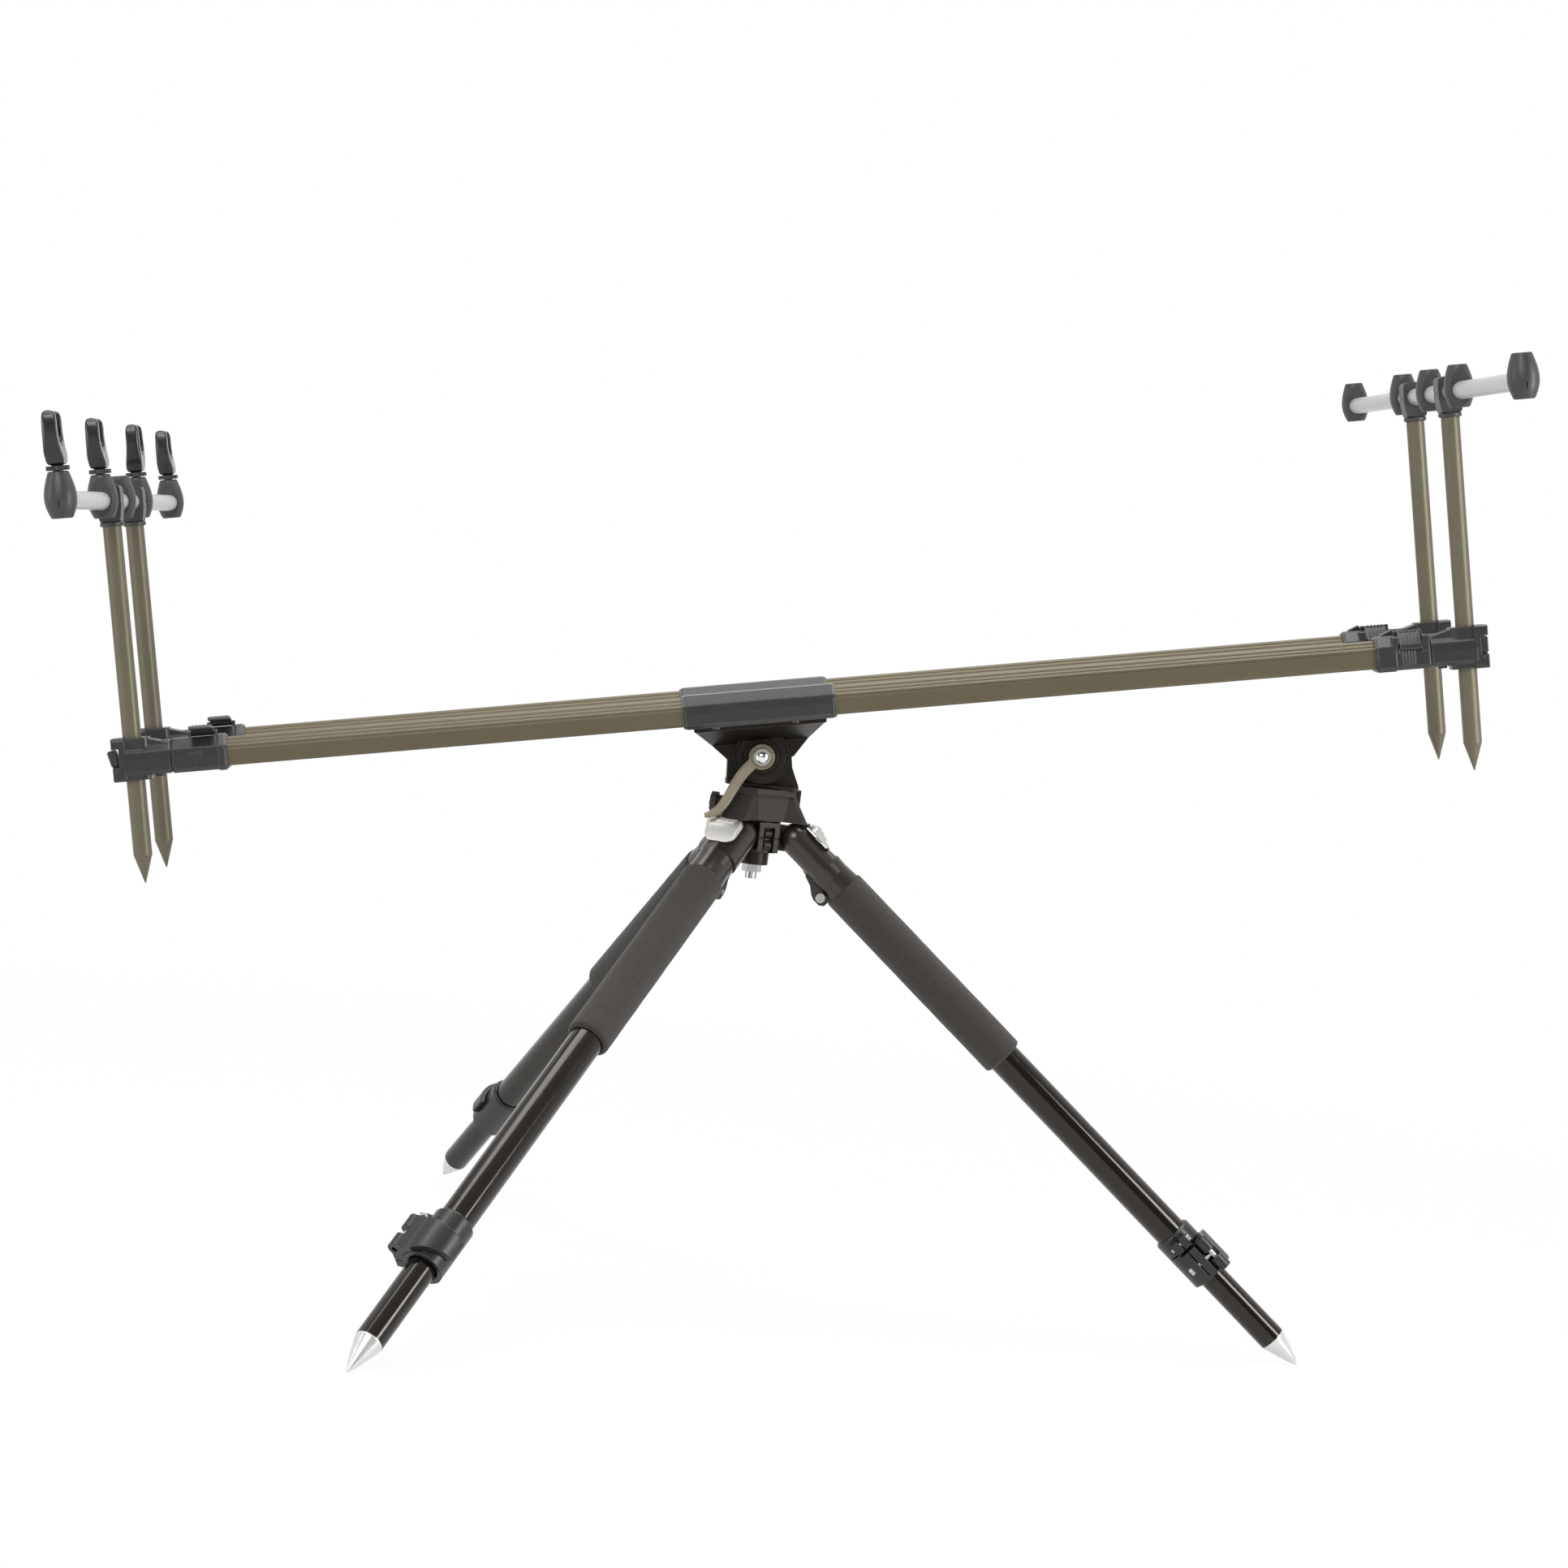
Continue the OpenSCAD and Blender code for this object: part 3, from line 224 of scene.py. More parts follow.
def remap(tree, value, source=(0.0, 1.0), target=(0.0, 1.0)):
    """A value carried from one range to another and held at its ends."""
    node = add_node(tree, "ShaderNodeMapRange", None, Value=value, From_Min=source[0],
                    From_Max=source[1], To_Min=target[0], To_Max=target[1])
    return node.outputs["Result"]


def maths(tree, operation, one, two):
    """The result of one operation on two values."""
    return add_node(tree, "ShaderNodeMath", {"operation": operation}, _0=one, _1=two).outputs[0]


def mix_colours(tree, amount, one, two, blend="MIX"):
    """Two colours mixed; the Mix node has its colours at 6 and 7 and their result at 2."""
    node = add_node(tree, "ShaderNodeMix", {"data_type": "RGBA", "blend_type": blend},
                    _0=amount, _6=one, _7=two)
    return node.outputs[2]


def mix_values(tree, amount, one, two):
    """Two values mixed; the Mix node has its values at 2 and 3 and their result at 0."""
    node = add_node(tree, "ShaderNodeMix", {"data_type": "FLOAT"}, _0=amount, _2=one, _3=two)
    return node.outputs[0]


def tint(tree, colour, mask, low, high):
    """The colour scaled between low and high by a mask."""
    gain = remap(tree, mask, target=(low, high))
    grey = add_node(tree, "ShaderNodeCombineColor", None, Red=gain, Green=gain, Blue=gain)
    return mix_colours(tree, 1.0, (*colour, 1.0), grey.outputs["Color"], "MULTIPLY")


def spread(tree, mask, low, high):
    """A value between low and high by a noise mask, whose values lie mostly near its middle."""
    return remap(tree, mask, source=(0.3, 0.7), target=(low, high))


# Shader groups


def shader_group(name, inputs, outputs):
    """An empty shader node group with its named sockets."""
    tree = bpy.data.node_groups.new(name, "ShaderNodeTree")
    for label, kind, value in inputs:
        socket = tree.interface.new_socket(label, in_out="INPUT", socket_type=kind)
        socket.default_value = value
    for label, kind in outputs:
        tree.interface.new_socket(label, in_out="OUTPUT", socket_type=kind)
    return tree, tree.nodes.new("NodeGroupInput"), tree.nodes.new("NodeGroupOutput")


def rounded_edges_group():
    """Softens the sharp edges of a solid and masks them for a painted highlight."""
    tree, given, result = shader_group(
        "rounded edges", [("Radius", "NodeSocketFloat", 0.0008)],
        [("Normal", "NodeSocketVector"), ("Edge", "NodeSocketFloat")])
    bevel = add_node(tree, "ShaderNodeBevel", {"samples": 6}, Radius=given.outputs["Radius"])
    facing = add_node(tree, "ShaderNodeNewGeometry")
    turn = add_node(tree, "ShaderNodeVectorMath", {"operation": "DOT_PRODUCT"},
                    _0=bevel.outputs["Normal"], _1=facing.outputs["Normal"])
    # cosines of the turn at which an edge begins and is full
    edge = remap(tree, turn.outputs["Value"], source=(0.995, 0.86))
    tree.links.new(bevel.outputs["Normal"], result.inputs["Normal"])
    tree.links.new(edge, result.inputs["Edge"])
    return tree


def mottle_group():
    """Broad and fine unevenness of a painted, anodised or moulded surface."""
    tree, given, result = shader_group(
        "surface mottle",
        [("Broad", "NodeSocketFloat", 18.0), ("Fine", "NodeSocketFloat", 900.0)],
        [("Broad", "NodeSocketFloat"), ("Fine", "NodeSocketFloat")])
    place = add_node(tree, "ShaderNodeTexCoord").outputs["Object"]
    for label, detail in (("Broad", 5.0), ("Fine", 2.0)):
        tex = add_node(tree, "ShaderNodeTexNoise", None, Vector=place, Scale=given.outputs[label],
                       Detail=detail, Roughness=0.6)
        tree.links.new(tex.outputs["Fac"], result.inputs[label])
    return tree


def draw_lines_group():
    """Fine lengthwise die lines; the mapping stretches them along one axis."""
    tree, given, result = shader_group(
        "draw lines",
        [("Stretch", "NodeSocketVector", (2.0, 900.0, 900.0)),
         ("Turn", "NodeSocketVector", (0.0, 0.0, 0.0))],
        [("Lines", "NodeSocketFloat")])
    place = add_node(tree, "ShaderNodeTexCoord").outputs["Object"]
    turned = add_node(tree, "ShaderNodeMapping", {"vector_type": "TEXTURE"}, Vector=place,
                      Rotation=given.outputs["Turn"])
    scaled = add_node(tree, "ShaderNodeVectorMath", {"operation": "MULTIPLY"},
                      _0=turned.outputs["Vector"], _1=given.outputs["Stretch"])
    tex = add_node(tree, "ShaderNodeTexNoise", None, Vector=scaled.outputs["Vector"], Scale=1.0,
                   Detail=3.0, Roughness=0.65)
    tree.links.new(tex.outputs["Fac"], result.inputs["Lines"])
    return tree


def foam_cells_group():
    """Small closed cells of the foam with a few larger pits."""
    tree, given, result = shader_group(
        "foam cells", [("Scale", "NodeSocketFloat", 900.0)],
        [("Height", "NodeSocketFloat"), ("Pits", "NodeSocketFloat")])
    place = add_node(tree, "ShaderNodeTexCoord").outputs["Object"]
    cells = add_node(tree, "ShaderNodeTexVoronoi", None, Vector=place,
                     Scale=given.outputs["Scale"], Randomness=1.0)
    grain = add_node(tree, "ShaderNodeTexNoise", None, Vector=place,
                     Scale=given.outputs["Scale"], Detail=4.0, Roughness=0.7)
    cell_share = 0.7
    height = add_node(tree, "ShaderNodeMath", {"operation": "MULTIPLY_ADD"},
                      _0=cells.outputs["Distance"], _1=cell_share, _2=grain.outputs["Fac"])
    pits = remap(tree, grain.outputs["Fac"], source=(0.35, 0.7))
    tree.links.new(height.outputs["Value"], result.inputs["Height"])
    tree.links.new(pits, result.inputs["Pits"])
    return tree


GROUP_MAKERS = {"edges": rounded_edges_group, "mottle": mottle_group,
                "lines": draw_lines_group, "cells": foam_cells_group}
GROUPS = {}


def place_group(tree, name, **inputs):
    """A shared group, built on first use, placed in a material with its own values."""
    if name not in GROUPS:
        GROUPS[name] = GROUP_MAKERS[name]()
    node = tree.nodes.new("ShaderNodeGroup")
    node.node_tree = GROUPS[name]
    for key, value in inputs.items():
        node.inputs[key].default_value = value
    return node


# Finishes

# Scale of the broad mottle, and the part of its range in which patches of painted edge highlight
# set in
BROAD_SCALE = 18.0
HIGHLIGHT_PATCHES = (0.4, 0.65)
# Roughness of a clear coat, and tints of the gloss
COAT_ROUGH = 0.08
WARM_GLEAM = (1.0, 0.9, 0.79)
TUBE_GLEAM = (1.0, 0.92, 0.83)
WHITE_GLEAM = (1.0, 1.0, 1.0)


def new_material(name):
    """A material with its node tree and shader."""
    material = bpy.data.materials.new(name)
    material.use_nodes = True
    return material, material.node_tree, material.node_tree.nodes["Principled BSDF"]


# The edge colour and its share paint a lighter highlight along the rounded edges, in patches.
def solid_finish(name, colour, rough, vary=(0.8, 1.2), fine=900.0, bump=2e-4, edge=0.0,
                 edge_highlight=(0.2, 0.2, 0.19), highlight_share=0.25, metallic=0.0, coat=0.0, specular=0.5,
                 gleam=WHITE_GLEAM, lines=None):
    """Mottled colour and roughness with fine bump; an edge radius rounds the edges and paints
    highlights on them.
    """
    material, tree, shader = new_material(name)
    mottle = place_group(tree, "mottle", Broad=BROAD_SCALE, Fine=fine)
    ground = tint(tree, colour, mottle.outputs["Broad"], *vary)
    relief = mottle.outputs["Fine"]
    if lines:
        drawn = place_group(tree, "lines", Stretch=lines[0], Turn=lines[1])
        relief = drawn.outputs["Lines"]
    tree.links.new(spread(tree, relief, *rough), shader.inputs["Roughness"])
    bumped = add_node(tree, "ShaderNodeBump", None, Strength=0.5, Distance=bump, Height=relief)
    tree.links.new(bumped.outputs["Normal"], shader.inputs["Normal"])
    if edge:
        edges = place_group(tree, "edges", Radius=edge)
        tree.links.new(edges.outputs["Normal"], bumped.inputs["Normal"])
        # a lighter colour is painted along the edges in patches of the broad mottle: a painted
        # highlight
        highlight_patch = remap(tree, mottle.outputs["Broad"], source=HIGHLIGHT_PATCHES, target=(0.0, highlight_share))
        amount = maths(tree, "MULTIPLY", edges.outputs["Edge"], highlight_patch)
        ground = mix_colours(tree, amount, ground, (*edge_highlight, 1.0))
    tree.links.new(ground, shader.inputs["Base Color"])
    shader.inputs["Metallic"].default_value = metallic
    shader.inputs["Coat Weight"].default_value = coat
    shader.inputs["Coat Roughness"].default_value = COAT_ROUGH
    shader.inputs["Specular IOR Level"].default_value = specular
    shader.inputs["Specular Tint"].default_value = (*gleam, 1.0)
    return material


def foam_finish(colour):
    """Matt foam with open-looking cells, paler between the pits."""
    material, tree, shader = new_material("grip foam")
    cells = place_group(tree, "cells", Scale=700.0)
    mottle = place_group(tree, "mottle", Broad=40.0, Fine=250.0)
    body = tint(tree, colour, mottle.outputs["Broad"], 0.75, 1.25)
    paler = (1.45, 1.4, 1.35, 1.0)
    pitted = mix_colours(tree, cells.outputs["Pits"], body, paler, "MULTIPLY")
    tree.links.new(pitted, shader.inputs["Base Color"])
    tree.links.new(spread(tree, mottle.outputs["Fine"], 0.82, 0.95), shader.inputs["Roughness"])
    bumped = add_node(tree, "ShaderNodeBump", None, Strength=0.4, Distance=3e-4,
                      Height=cells.outputs["Height"])
    tree.links.new(bumped.outputs["Normal"], shader.inputs["Normal"])
    shader.inputs["Specular IOR Level"].default_value = 0.3
    shader.inputs["Sheen Weight"].default_value = 0.15
    shader.inputs["Sheen Roughness"].default_value = 0.6
    return material


def paint(material, *names):
    """Puts a finish on CAD nodes."""
    for name in names:
        data = NODES[name].data
        data.materials.clear()
        data.materials.append(material)


def per_leg(*stems):
    """Node names of each stem on the three legs."""
    return [f"{stem}_{leg}" for stem in stems for leg in LEGS]


def per_end(*stems):
    """Node names of each stem at both ends of the frame."""
    return [f"{stem}_{end}" for stem in stems for end in ENDS]


def per_corner(stem):
    """Node names of a stem at the four beam ends."""
    return [f"{stem}_{end}_{beam}" for end in ENDS for beam in BEAMS]


# Objects and meshes


def linked(name, data):
    """A new object in the scene."""
    thing = bpy.data.objects.new(name, data)
    bpy.context.scene.collection.objects.link(thing)
    return thing


def new_piece(name, mesh, material, body):
    """A mesh object at the origin that rides on a body."""
    piece = linked(name, mesh)
    if not mesh.materials:
        mesh.materials.append(material)
    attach(piece, body)
    return piece


def placed(axes, spot):
    """The matrix that has three axes and a place as its columns."""
    return Matrix.Translation(spot) @ Matrix(axes).transposed().to_4x4()


def join_rings(build, one, two):
    """Faces between two rings with the same number of points."""
    for i in range(len(one)):
        j = (i + 1) % len(one)
        build.faces.new((one[i], one[j], two[j], two[i]))


def closed_mesh(name, build):
    """What was built, as a mesh with its faces turned outwards."""
    bmesh.ops.recalc_face_normals(build, faces=build.faces)
    mesh = bpy.data.meshes.new(name)
    build.to_mesh(mesh)
    build.free()
    return mesh


def applied_mesh(name, holder):
    """What the holder's modifiers make, as a plain smooth mesh; the holder is removed."""
    evaluated = holder.evaluated_get(bpy.context.evaluated_depsgraph_get())
    mesh = bpy.data.meshes.new_from_object(evaluated)
    holder.modifiers.clear()
    bpy.data.objects.remove(holder)
    mesh.name = name
    for face in mesh.polygons:
        face.use_smooth = True
    return mesh


def leg_frame(leg):
    """Hinge point and direction down a leg, with two directions across it."""
    pivot = Vector(JOINTS[f"leg_{leg}_fold"]["pos_m"])
    across = Vector(JOINTS[f"leg_{leg}_fold"]["axis"]).normalized()
    down = Vector(JOINTS[f"leg_{leg}_extend"]["axis"]).normalized()
    return pivot, down, across, down.cross(across)


# Pieces


class POD_OT_castings(bpy.types.Operator):
    """Black and charcoal paint of crown, cowl, head and leg castings, and the brown pan knob"""

    bl_idname = "pod.castings"
    bl_label = "Castings"

    def execute(self, context):
        finish = context.scene.pod_finish
        paint(solid_finish("leg cast black", finish.cast, (0.28, 0.3), bump=4e-6, specular=0.75,
                           gleam=WARM_GLEAM),
              *per_leg("leg_casting"))
        # the lighter edge colours given below are painted highlights along the rounded edges
        paint(solid_finish("head black", finish.head, (0.36, 0.46), bump=2e-5, edge=0.0012,
                           edge_highlight=(0.08, 0.072, 0.062), highlight_share=0.5, specular=0.3, gleam=WARM_GLEAM),
              "crown_spider", "pan_yoke", "tilt_plate")
        paint(solid_finish("cowl grey", finish.cowl, (0.32, 0.42), vary=(0.9, 1.1), bump=2e-5,
                           edge=0.0016, edge_highlight=(0.19, 0.183, 0.172), highlight_share=0.8, specular=0.08,
                           gleam=WARM_GLEAM),
              "crown_cowl")
        paint(solid_finish("knob brown", finish.knob, (0.4, 0.55), edge=0.0006), "pan_knob")
        return {"FINISHED"}


class POD_OT_tubes(bpy.types.Operator):
    """Gloss black on the telescopic leg tubes"""

    bl_idname = "pod.tubes"
    bl_label = "Leg tubes"

    def execute(self, context):
        finish = context.scene.pod_finish
        paint(solid_finish("tube black", finish.tube, (0.07, 0.14), fine=60.0, bump=1e-5,
                           gleam=TUBE_GLEAM),
              *per_leg("upper_tube", "lower_tube"))
        return {"FINISHED"}


class POD_OT_grips(bpy.types.Operator):
    """Foam grips with soft ends, slight dents and a cellular skin"""

    bl_idname = "pod.grips"
    bl_label = "Foam grips"

    # Broad and close waves of the skin: noise scale per metre and share of the dents' depth.
    # The whole skin sinks by a share too, so that it stays in the space of the CAD sleeve.
    WAVES = ((45.0, 0.8), (160.0, 0.35))
    SINK = 0.9

    def execute(self, context):
        sizes = context.scene.pod_grip
        material = foam_finish(context.scene.pod_finish.foam)
        for leg in LEGS:
            mesh = self.grip_mesh(leg, sizes)
            piece = new_piece(f"foam_grip_{leg}", mesh, material, f"leg_{leg}")
            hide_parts(f"leg_grip_{leg}")
        return {"FINISHED"}

    @classmethod
    def grip_mesh(cls, leg, sizes, around=72, along=96):
        """A sleeve: its outline, from one end of the bore to the other, is turned round the leg."""
        pivot, down, across, over = leg_frame(leg)
        soft, straight = sizes.soft, sizes.length - 2 * sizes.soft
        inner, last = sizes.radius - soft, sizes.length - soft
        turns = [math.radians(degrees) for degrees in range(0, 91, 15)]
        outline = [(sizes.bore, 0.0)]
        outline += [(inner + soft * math.sin(a), soft - soft * math.cos(a)) for a in turns]
        outline += [(sizes.radius, soft + straight * i / along) for i in range(1, along)]
        outline += [(inner + soft * math.cos(a), last + soft * math.sin(a)) for a in turns]
        outline += [(sizes.bore, sizes.length)]
        build = bmesh.new()
        rings = []
        for radius, step in outline:
            spot = pivot + down * (sizes.start + step)
            ring = []
            for i in range(around):
                angle = 2 * math.pi * i / around
                side = across * math.cos(angle) + over * math.sin(angle)
                reach = radius
                if radius > sizes.bore:
                    skin = spot + side * radius
                    wave = sum(share * noise.noise(skin * scale) for scale, share in cls.WAVES)
                    reach += sizes.dent * (wave - cls.SINK)
                ring.append(build.verts.new(spot + side * reach))
            rings.append(ring)
        for one, two in zip(rings, rings[1:] + rings[:1]):
            join_rings(build, one, two)
        for face in build.faces:
            face.smooth = True
        return closed_mesh(f"foam_grip_{leg}", build)


class POD_OT_plastics(bpy.types.Operator):
    """Moulded plastic of sleeves, collars, blocks, levers, bulbs and leg clamps"""

    bl_idname = "pod.plastics"
    bl_label = "Plastic parts"

    def execute(self, context):
        finish = context.scene.pod_finish
        # the lighter edge colours given below are painted highlights along the rounded edges
        paint(solid_finish("grey plastic", finish.plastic, (0.25, 0.37), bump=3e-5, fine=1100.0,
                           edge=0.0016, edge_highlight=(0.17, 0.17, 0.168), highlight_share=0.4),
              "beam_collars", *per_end("end_blocks"),
              *per_corner("cam_lever"), *per_corner("block_lever"))
        paint(solid_finish("sleeve plastic", finish.sleeve, (0.17, 0.25), vary=(0.9, 1.1),
                           bump=3e-5, fine=1100.0, edge=0.0014, edge_highlight=(0.2, 0.2, 0.197), highlight_share=0.6,
                           specular=0.42),
              "saddle_sleeves")
        paint(solid_finish("bulb plastic", finish.bulb, (0.36, 0.5), bump=4e-5),
              "lock_rings", *per_end("bulbs", "cross_blocks"))
        paint(solid_finish("clamp plastic", finish.clamp, (0.25, 0.37), bump=3e-5, edge=0.0013,
                           edge_highlight=(0.15, 0.15, 0.15), highlight_share=0.4),
              *per_leg("lock_collar", "lock_lever"))
        return {"FINISHED"}


class POD_OT_rests(bpy.types.Operator):
    """Gloss black rod rests with softly moulded edges"""

    bl_idname = "pod.rests"
    bl_label = "Rod rests"

    def execute(self, context):
        finish = context.scene.pod_finish
        material = solid_finish("rest gloss", finish.rest, (0.2, 0.28), bump=2e-5, fine=200.0,
                                coat=0.12)
        mesh = self.moulded_mesh("moulded_rests", NODES["rod_rests"].data, context.scene.pod_rest)
        piece = new_piece("moulded_rests", mesh, material, "mast_left")
        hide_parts("rod_rests")
        return {"FINISHED"}

    @staticmethod
    def moulded_mesh(name, source, sizes):
        """A copy of the rests with an even skin, smoothed so that every edge turns softly."""
        copy = bpy.data.meshes.new(name + "_copy")
        build = bmesh.new()
        build.from_mesh(source)
        bmesh.ops.remove_doubles(build, verts=build.verts, dist=1e-6)
        build.to_mesh(copy)
        build.free()
        holder = linked(name + "_maker", copy)
        skin = holder.modifiers.new("skin", "REMESH")
        skin.mode = "VOXEL"
        skin.voxel_size = sizes.grain
        soften = holder.modifiers.new("soften", "SMOOTH")
        soften.factor = 0.5
        soften.iterations = sizes.rounds
        mesh = applied_mesh(name, holder)
        mesh.materials.clear()
        return mesh


class POD_OT_frame_tubes(bpy.types.Operator):
    """Olive anodised beams, inner tubes and uprights, and silver crossbars"""

    bl_idname = "pod.frame_tubes"
    bl_label = "Beams and bars"

    def execute(self, context):
        finish = context.scene.pod_finish
        axis = JOINTS["beam_right_extend"]["axis"]
        tilt = (0.0, math.atan2(-axis[2], axis[0]), 0.0)
        level = (0.0, 0.0, 0.0)
        paint(solid_finish("olive beam", finish.beam, (0.34, 0.46), vary=(0.88, 1.12), bump=2e-5,
                           edge=0.0024, highlight_share=0.0, metallic=0.45,
                           lines=((5.0, 900.0, 900.0), tilt)),
              "beams", *per_end("inner_tubes"))
        paint(solid_finish("olive upright", finish.olive, (0.36, 0.5), vary=(0.85, 1.15),
                           bump=2e-5, metallic=0.4, lines=((900.0, 900.0, 5.0), tilt)),
              *per_end("uprights"))
        paint(solid_finish("silver bar", finish.bar, (0.3, 0.42), vary=(0.92, 1.06), bump=2e-5,
                           metallic=0.55, lines=((800.0, 5.0, 800.0), level)),
              *per_end("buzz_bar"))
        return {"FINISHED"}


class POD_OT_hardware(bpy.types.Operator):
    """Bare metal of spikes, tabs and bolts, and the bronze tilt lever"""

    bl_idname = "pod.hardware"
    bl_label = "Metal parts"

    def execute(self, context):
        finish = context.scene.pod_finish
        paint(solid_finish("satin spike", finish.spike, (0.24, 0.32), vary=(0.92, 1.05),
                           fine=120.0, bump=2e-6, metallic=0.6),
              *per_leg("spike"))
        # the lighter edge colours given below are painted highlights along the rounded edges
        paint(solid_finish("satin tab", finish.tab, (0.34, 0.42), vary=(0.92, 1.06), bump=1e-5,
                           edge=0.0014, edge_highlight=(0.75, 0.74, 0.71), metallic=0.75),
              *per_leg("angle_tab"))
        paint(solid_finish("turned steel", finish.steel, (0.2, 0.36), vary=(0.85, 1.1), bump=2e-5,
                           metallic=1.0),
              "crown_fasteners", "head_fasteners", *per_leg("leg_screws"))
        paint(solid_finish("bronze lever", finish.bronze, (0.36, 0.5), vary=(0.82, 1.16),
                           fine=1500.0, bump=8e-5, edge=0.0012, edge_highlight=(0.5, 0.46, 0.34), highlight_share=0.7,
                           metallic=0.55),
              "tilt_lever")
        return {"FINISHED"}


class POD_OT_bolt_cap(bpy.types.Operator):
    """Polished domed cap in the head of the tilt bolt"""

    bl_idname = "pod.bolt_cap"
    bl_label = "Bolt cap"

    # How deep the cap's back is sunk into its seat
    SUNK = 0.0001

    def execute(self, context):
        finish = context.scene.pod_finish
        material = solid_finish("polished cap", finish.cap, (0.14, 0.22), vary=(0.94, 1.04),
                                bump=1e-5, metallic=1.0)
        mesh = self.cap_mesh(context.scene.pod_cap)
        new_piece("tilt_bolt_cap", mesh, material, "pan")
        return {"FINISHED"}

    @classmethod
    def cap_mesh(cls, sizes, around=48, steps=10):
        """A spherical dome with a flat back, sunk a little into its seat."""
        axis = Vector(JOINTS["head_tilt"]["pos_m"])
        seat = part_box("head_fasteners")[0][1] + sizes.recess
        ball = (sizes.radius ** 2 + sizes.crown ** 2) / (2 * sizes.crown)
        reaches = [sizes.radius * (1 - i / steps) for i in range(steps)]
        outline = [(sizes.radius, -cls.SUNK)]
        outline += [(reach, math.sqrt(ball ** 2 - reach ** 2) - ball + sizes.crown)
                    for reach in reaches]
        turns = [2 * math.pi * i / around for i in range(around)]
        build = bmesh.new()
        rings = [[build.verts.new((axis.x + reach * math.cos(a), seat - height,
                                   axis.z + reach * math.sin(a))) for a in turns]
                 for reach, height in outline]
        for one, two in zip(rings, rings[1:]):
            join_rings(build, one, two)
        top = build.verts.new((axis.x, seat - sizes.crown, axis.z))
        for i in range(around):
            build.faces.new((rings[-1][i], rings[-1][(i + 1) % around], top))
        for face in build.faces:
            face.smooth = True
        build.faces.new(rings[0])
        return closed_mesh("tilt_bolt_cap", build)


STUD_INPUTS = {"Across": "NodeSocketInt", "Rows": "NodeSocketInt", "Pitch X": "NodeSocketFloat",
               "Pitch Y": "NodeSocketFloat", "Size": "NodeSocketFloat",
               "Material": "NodeSocketMaterial"}


def stud_rows_tree(name):
    """Geometry Nodes: a small ball on every point of a grid, realized and with its finish."""
    tree = bpy.data.node_groups.new(name, "GeometryNodeTree")
    sockets = {}
    for label, kind in STUD_INPUTS.items():
        socket = tree.interface.new_socket(label, in_out="INPUT", socket_type=kind)
        sockets[label] = socket.identifier
    tree.interface.new_socket("Geometry", in_out="OUTPUT", socket_type="NodeSocketGeometry")
    given, result = tree.nodes.new("NodeGroupInput"), tree.nodes.new("NodeGroupOutput")
    spans = [maths(tree, "MULTIPLY", maths(tree, "SUBTRACT", given.outputs[count], 1.0),
                   given.outputs[pitch])
             for count, pitch in (("Across", "Pitch X"), ("Rows", "Pitch Y"))]
    grid = add_node(tree, "GeometryNodeMeshGrid", None, Size_X=spans[0], Size_Y=spans[1],
                    Vertices_X=given.outputs["Across"], Vertices_Y=given.outputs["Rows"])
    form = add_node(tree, "GeometryNodeMeshUVSphere", None, Segments=14, Rings=8,
                    Radius=given.outputs["Size"])
    instances = add_node(tree, "GeometryNodeInstanceOnPoints", None, Points=grid.outputs["Mesh"],
                         Instance=form.outputs["Mesh"])
    real = add_node(tree, "GeometryNodeRealizeInstances", None,
                    Geometry=instances.outputs["Instances"])
    dressed = add_node(tree, "GeometryNodeSetMaterial", None, Geometry=real.outputs["Geometry"],
                       Material=given.outputs["Material"])
    tree.links.new(dressed.outputs["Geometry"], result.inputs["Geometry"])
    return tree, sockets


def stud_rows_mesh(name, tree, sockets, values, place):
    """The tree's result as a plain mesh, moved into place."""
    holder = linked(name + "_maker", bpy.data.meshes.new(name + "_maker"))
    modifier = holder.modifiers.new("studs", "NODES")
    modifier.node_group = tree
    for label, value in values.items():
        modifier[sockets[label]] = value
    mesh = applied_mesh(name, holder)
    mesh.transform(place)
    return mesh


class POD_OT_lever_studs(bpy.types.Operator):
    """Finger studs on the flap levers of the beam collars"""

    bl_idname = "pod.lever_studs"
    bl_label = "Lever studs"

    # How far the levers of each end stand open at rest
    OPEN = {"left": math.radians(58.0), "right": 0.0}
    # Slope of a lever's face, and where the studs lie on it from the hinge, back and up
    SLOPE = math.radians(16.0)
    BACK, UP = -0.0036, 0.00155

    def execute(self, context):
        sizes = context.scene.pod_stud
        material = bpy.data.materials["grey plastic"]
        tree, sockets = stud_rows_tree("lever stud rows")
        values = {"Across": sizes.across, "Rows": sizes.rows, "Pitch X": sizes.pitch_across,
                  "Pitch Y": sizes.pitch_rows, "Size": sizes.radius, "Material": material}
        for end in ENDS:
            for beam in BEAMS:
                name = f"lever_studs_{end}_{beam}"
                mesh = stud_rows_mesh(name, tree, sockets, values, self.lever_face(end, beam))
                new_piece(name, mesh, material, f"beam_lock_{end}_{beam}")
        return {"FINISHED"}

    @classmethod
    def lever_face(cls, end, beam):
        """The place of the studs on one lever's sloping face."""
        joint = JOINTS[f"beam_{end}_{beam}_lock"]
        along = -Vector(joint["axis"]).normalized()
        back = Vector((0.0, 1.0, 0.0))
        up = along.cross(back)
        turned = Matrix.Rotation(-cls.OPEN[end], 3, along)
        slope = Matrix.Rotation(cls.SLOPE, 3, along)
        spot = Vector(joint["pos_m"]) + turned @ (back * cls.BACK + up * cls.UP)
        return placed([turned @ slope @ axis for axis in (along, back, up)], spot)


# Studio

# Half the floor's width, its colour, and the strength of the world's light on the pod
FLOOR_REACH = 14.0
FLOOR_GREY = (0.86, 0.86, 0.86, 1.0)
WHITE = (1.0, 1.0, 1.0, 1.0)
WORLD_LIGHT = 0.34

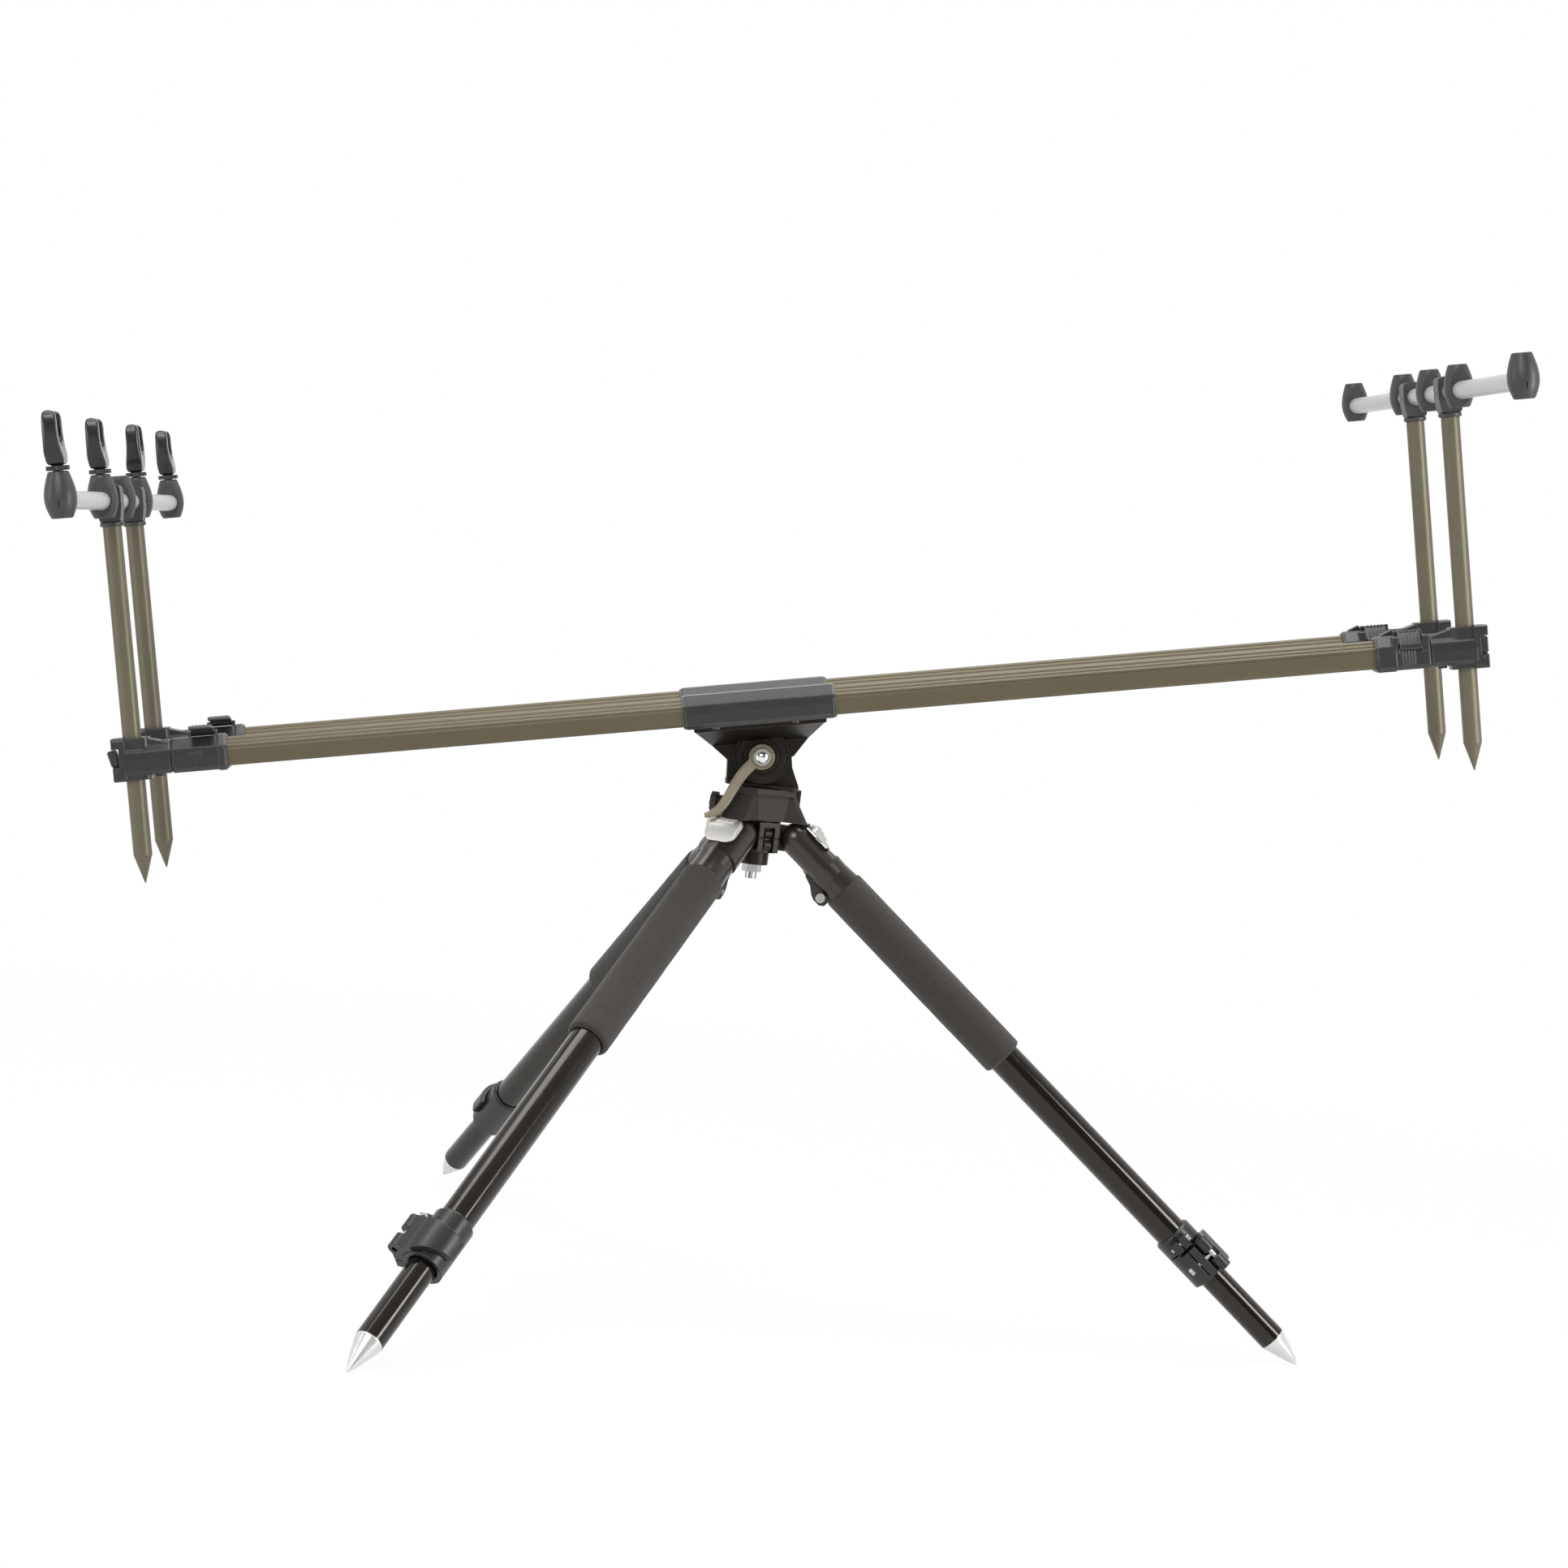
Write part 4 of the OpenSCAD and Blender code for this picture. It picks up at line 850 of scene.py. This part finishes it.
# Place, aim and size of each area light
LAMPS = {
    "key": ((-1.2, -3.2, 2.6), (0.0, 0.0, 0.45), (2.0, 2.0)),
    "top": ((0.0, 0.3, 2.9), (0.0, 0.0, 0.45), (2.6, 1.6)),
    "left strip": ((-2.6, -1.0, 0.9), (0.0, 0.0, 0.4), (0.5, 2.0)),
    "right strip": ((2.5, -1.4, 0.9), (0.0, 0.0, 0.4), (0.8, 2.0)),
}


class POD_OT_stage(bpy.types.Operator):
    """White studio with soft lights and the camera of the photograph"""

    bl_idname = "pod.stage"
    bl_label = "Studio"

    def execute(self, context):
        sizes = context.scene.pod_stage
        self.make_floor()
        self.make_world(context.scene)
        self.make_lamp("key", sizes.key)
        self.make_lamp("top", sizes.fill)
        self.make_lamp("left strip", sizes.left)
        self.make_lamp("right strip", sizes.right)
        self.make_camera(context.scene, sizes.lens)
        context.scene.view_settings.view_transform = "Standard"
        return {"FINISHED"}

    @staticmethod
    def make_floor():
        """A pale floor that shows white to the camera and in mirrors, and keeps soft shadows."""
        mesh = bpy.data.meshes.new("studio_floor")
        corners = [(x * FLOOR_REACH, y * FLOOR_REACH, 0)
                   for x, y in ((-1, -1), (1, -1), (1, 1), (-1, 1))]
        mesh.from_pydata(corners, [], [(0, 1, 2, 3)])
        floor = linked("studio_floor", mesh)
        material, tree, shader = new_material("studio white")
        tree.nodes.remove(shader)
        matt = add_node(tree, "ShaderNodeBsdfDiffuse", None, Color=FLOOR_GREY)
        glow = add_node(tree, "ShaderNodeEmission", None, Color=WHITE, Strength=1.0)
        path = add_node(tree, "ShaderNodeLightPath")
        spot = add_node(tree, "ShaderNodeTexCoord").outputs["Object"]
        far = add_node(tree, "ShaderNodeVectorMath", {"operation": "LENGTH"}, _0=spot)
        # near the feet a little less than all of it glows, and the rest shows the shadow
        fade = remap(tree, far.outputs["Value"], source=(0.6, 2.0), target=(0.94, 1.0))
        seen = maths(tree, "MAXIMUM", path.outputs["Is Camera Ray"], path.outputs["Is Glossy Ray"])
        mix = add_node(tree, "ShaderNodeMixShader", None, _0=maths(tree, "MULTIPLY", seen, fade),
                       _1=matt.outputs["BSDF"], _2=glow.outputs["Emission"])
        output = tree.nodes["Material Output"]
        tree.links.new(mix.outputs["Shader"], output.inputs["Surface"])
        mesh.materials.append(material)

    @staticmethod
    def make_world(scene):
        """White to the camera, and a low even light on the pod."""
        world = bpy.data.worlds.new("studio")
        world.use_nodes = True
        tree = world.node_tree
        ground = tree.nodes["Background"]
        ground.inputs["Color"].default_value = WHITE
        path = add_node(tree, "ShaderNodeLightPath")
        # polished parts mirror the bright side behind the pod and a darker room behind the camera
        way = add_node(tree, "ShaderNodeTexCoord").outputs["Generated"]
        side = add_node(tree, "ShaderNodeSeparateXYZ", None, Vector=way)
        mirrored = remap(tree, side.outputs["Y"], source=(-0.6, 0.3), target=(0.2, 1.0))
        shiny = maths(tree, "MAXIMUM", path.outputs["Is Glossy Ray"],
                      path.outputs["Is Transmission Ray"])
        around = mix_values(tree, shiny, WORLD_LIGHT, mirrored)
        power = mix_values(tree, path.outputs["Is Camera Ray"], around, 1.0)
        tree.links.new(power, ground.inputs["Strength"])
        scene.world = world

    @staticmethod
    def make_lamp(name, power):
        """A rectangular area light, turned to its aim."""
        place, aim, size = LAMPS[name]
        lamp = bpy.data.lights.new(name, "AREA")
        lamp.shape = "RECTANGLE"
        lamp.size, lamp.size_y = size
        lamp.energy = power
        holder = linked(name, lamp)
        holder.location = place
        holder.rotation_euler = (Vector(aim) - Vector(place)).to_track_quat("-Z", "Y").to_euler()

    @staticmethod
    def make_camera(scene, lens):
        """The camera that was fitted to the photograph."""
        right = Vector((0.992201, -0.038165, 0.118663))
        down = Vector((0.115874, -0.068458, -0.990902))
        ahead = Vector((0.045941, 0.996924, -0.063502))
        eye = Vector((-0.142318, -3.415747, 0.674999))
        lens_data = bpy.data.cameras.new("photo_camera")
        lens_data.lens = lens
        lens_data.sensor_width = 36.0
        camera = linked("photo_camera", lens_data)
        camera.matrix_world = placed((right, -down, -ahead), eye)
        scene.camera = camera


# Add-on

OPERATORS = (POD_OT_castings, POD_OT_tubes, POD_OT_grips, POD_OT_plastics, POD_OT_rests,
             POD_OT_frame_tubes, POD_OT_hardware, POD_OT_bolt_cap, POD_OT_lever_studs,
             POD_OT_stage)


class POD_PT_panel(bpy.types.Panel):
    """Buttons that dress the rod pod"""

    bl_label = "Rod Pod"
    bl_idname = "POD_PT_panel"
    bl_space_type = "VIEW_3D"
    bl_region_type = "UI"
    bl_category = "Rod Pod"

    def draw(self, context):
        for operator in OPERATORS:
            self.layout.operator(operator.bl_idname)


SETTINGS = {"pod_finish": FinishSettings, "pod_grip": GripSettings, "pod_rest": RestSettings,
            "pod_cap": CapSettings, "pod_stud": StudSettings, "pod_stage": StageSettings}


def register():
    for name, group in SETTINGS.items():
        bpy.utils.register_class(group)
        setattr(bpy.types.Scene, name, bpy.props.PointerProperty(type=group))
    for operator in (*OPERATORS, POD_PT_panel):
        bpy.utils.register_class(operator)


def unregister():
    for operator in reversed((*OPERATORS, POD_PT_panel)):
        bpy.utils.unregister_class(operator)
    for name, group in SETTINGS.items():
        delattr(bpy.types.Scene, name)
        bpy.utils.unregister_class(group)


def main():
    register()
    bpy.ops.pod.castings()
    bpy.ops.pod.tubes()
    bpy.ops.pod.grips()
    bpy.ops.pod.plastics()
    bpy.ops.pod.rests()
    bpy.ops.pod.frame_tubes()
    bpy.ops.pod.hardware()
    bpy.ops.pod.bolt_cap()
    bpy.ops.pod.lever_studs()
    bpy.ops.pod.stage()


if __name__ == "__main__":
    main()
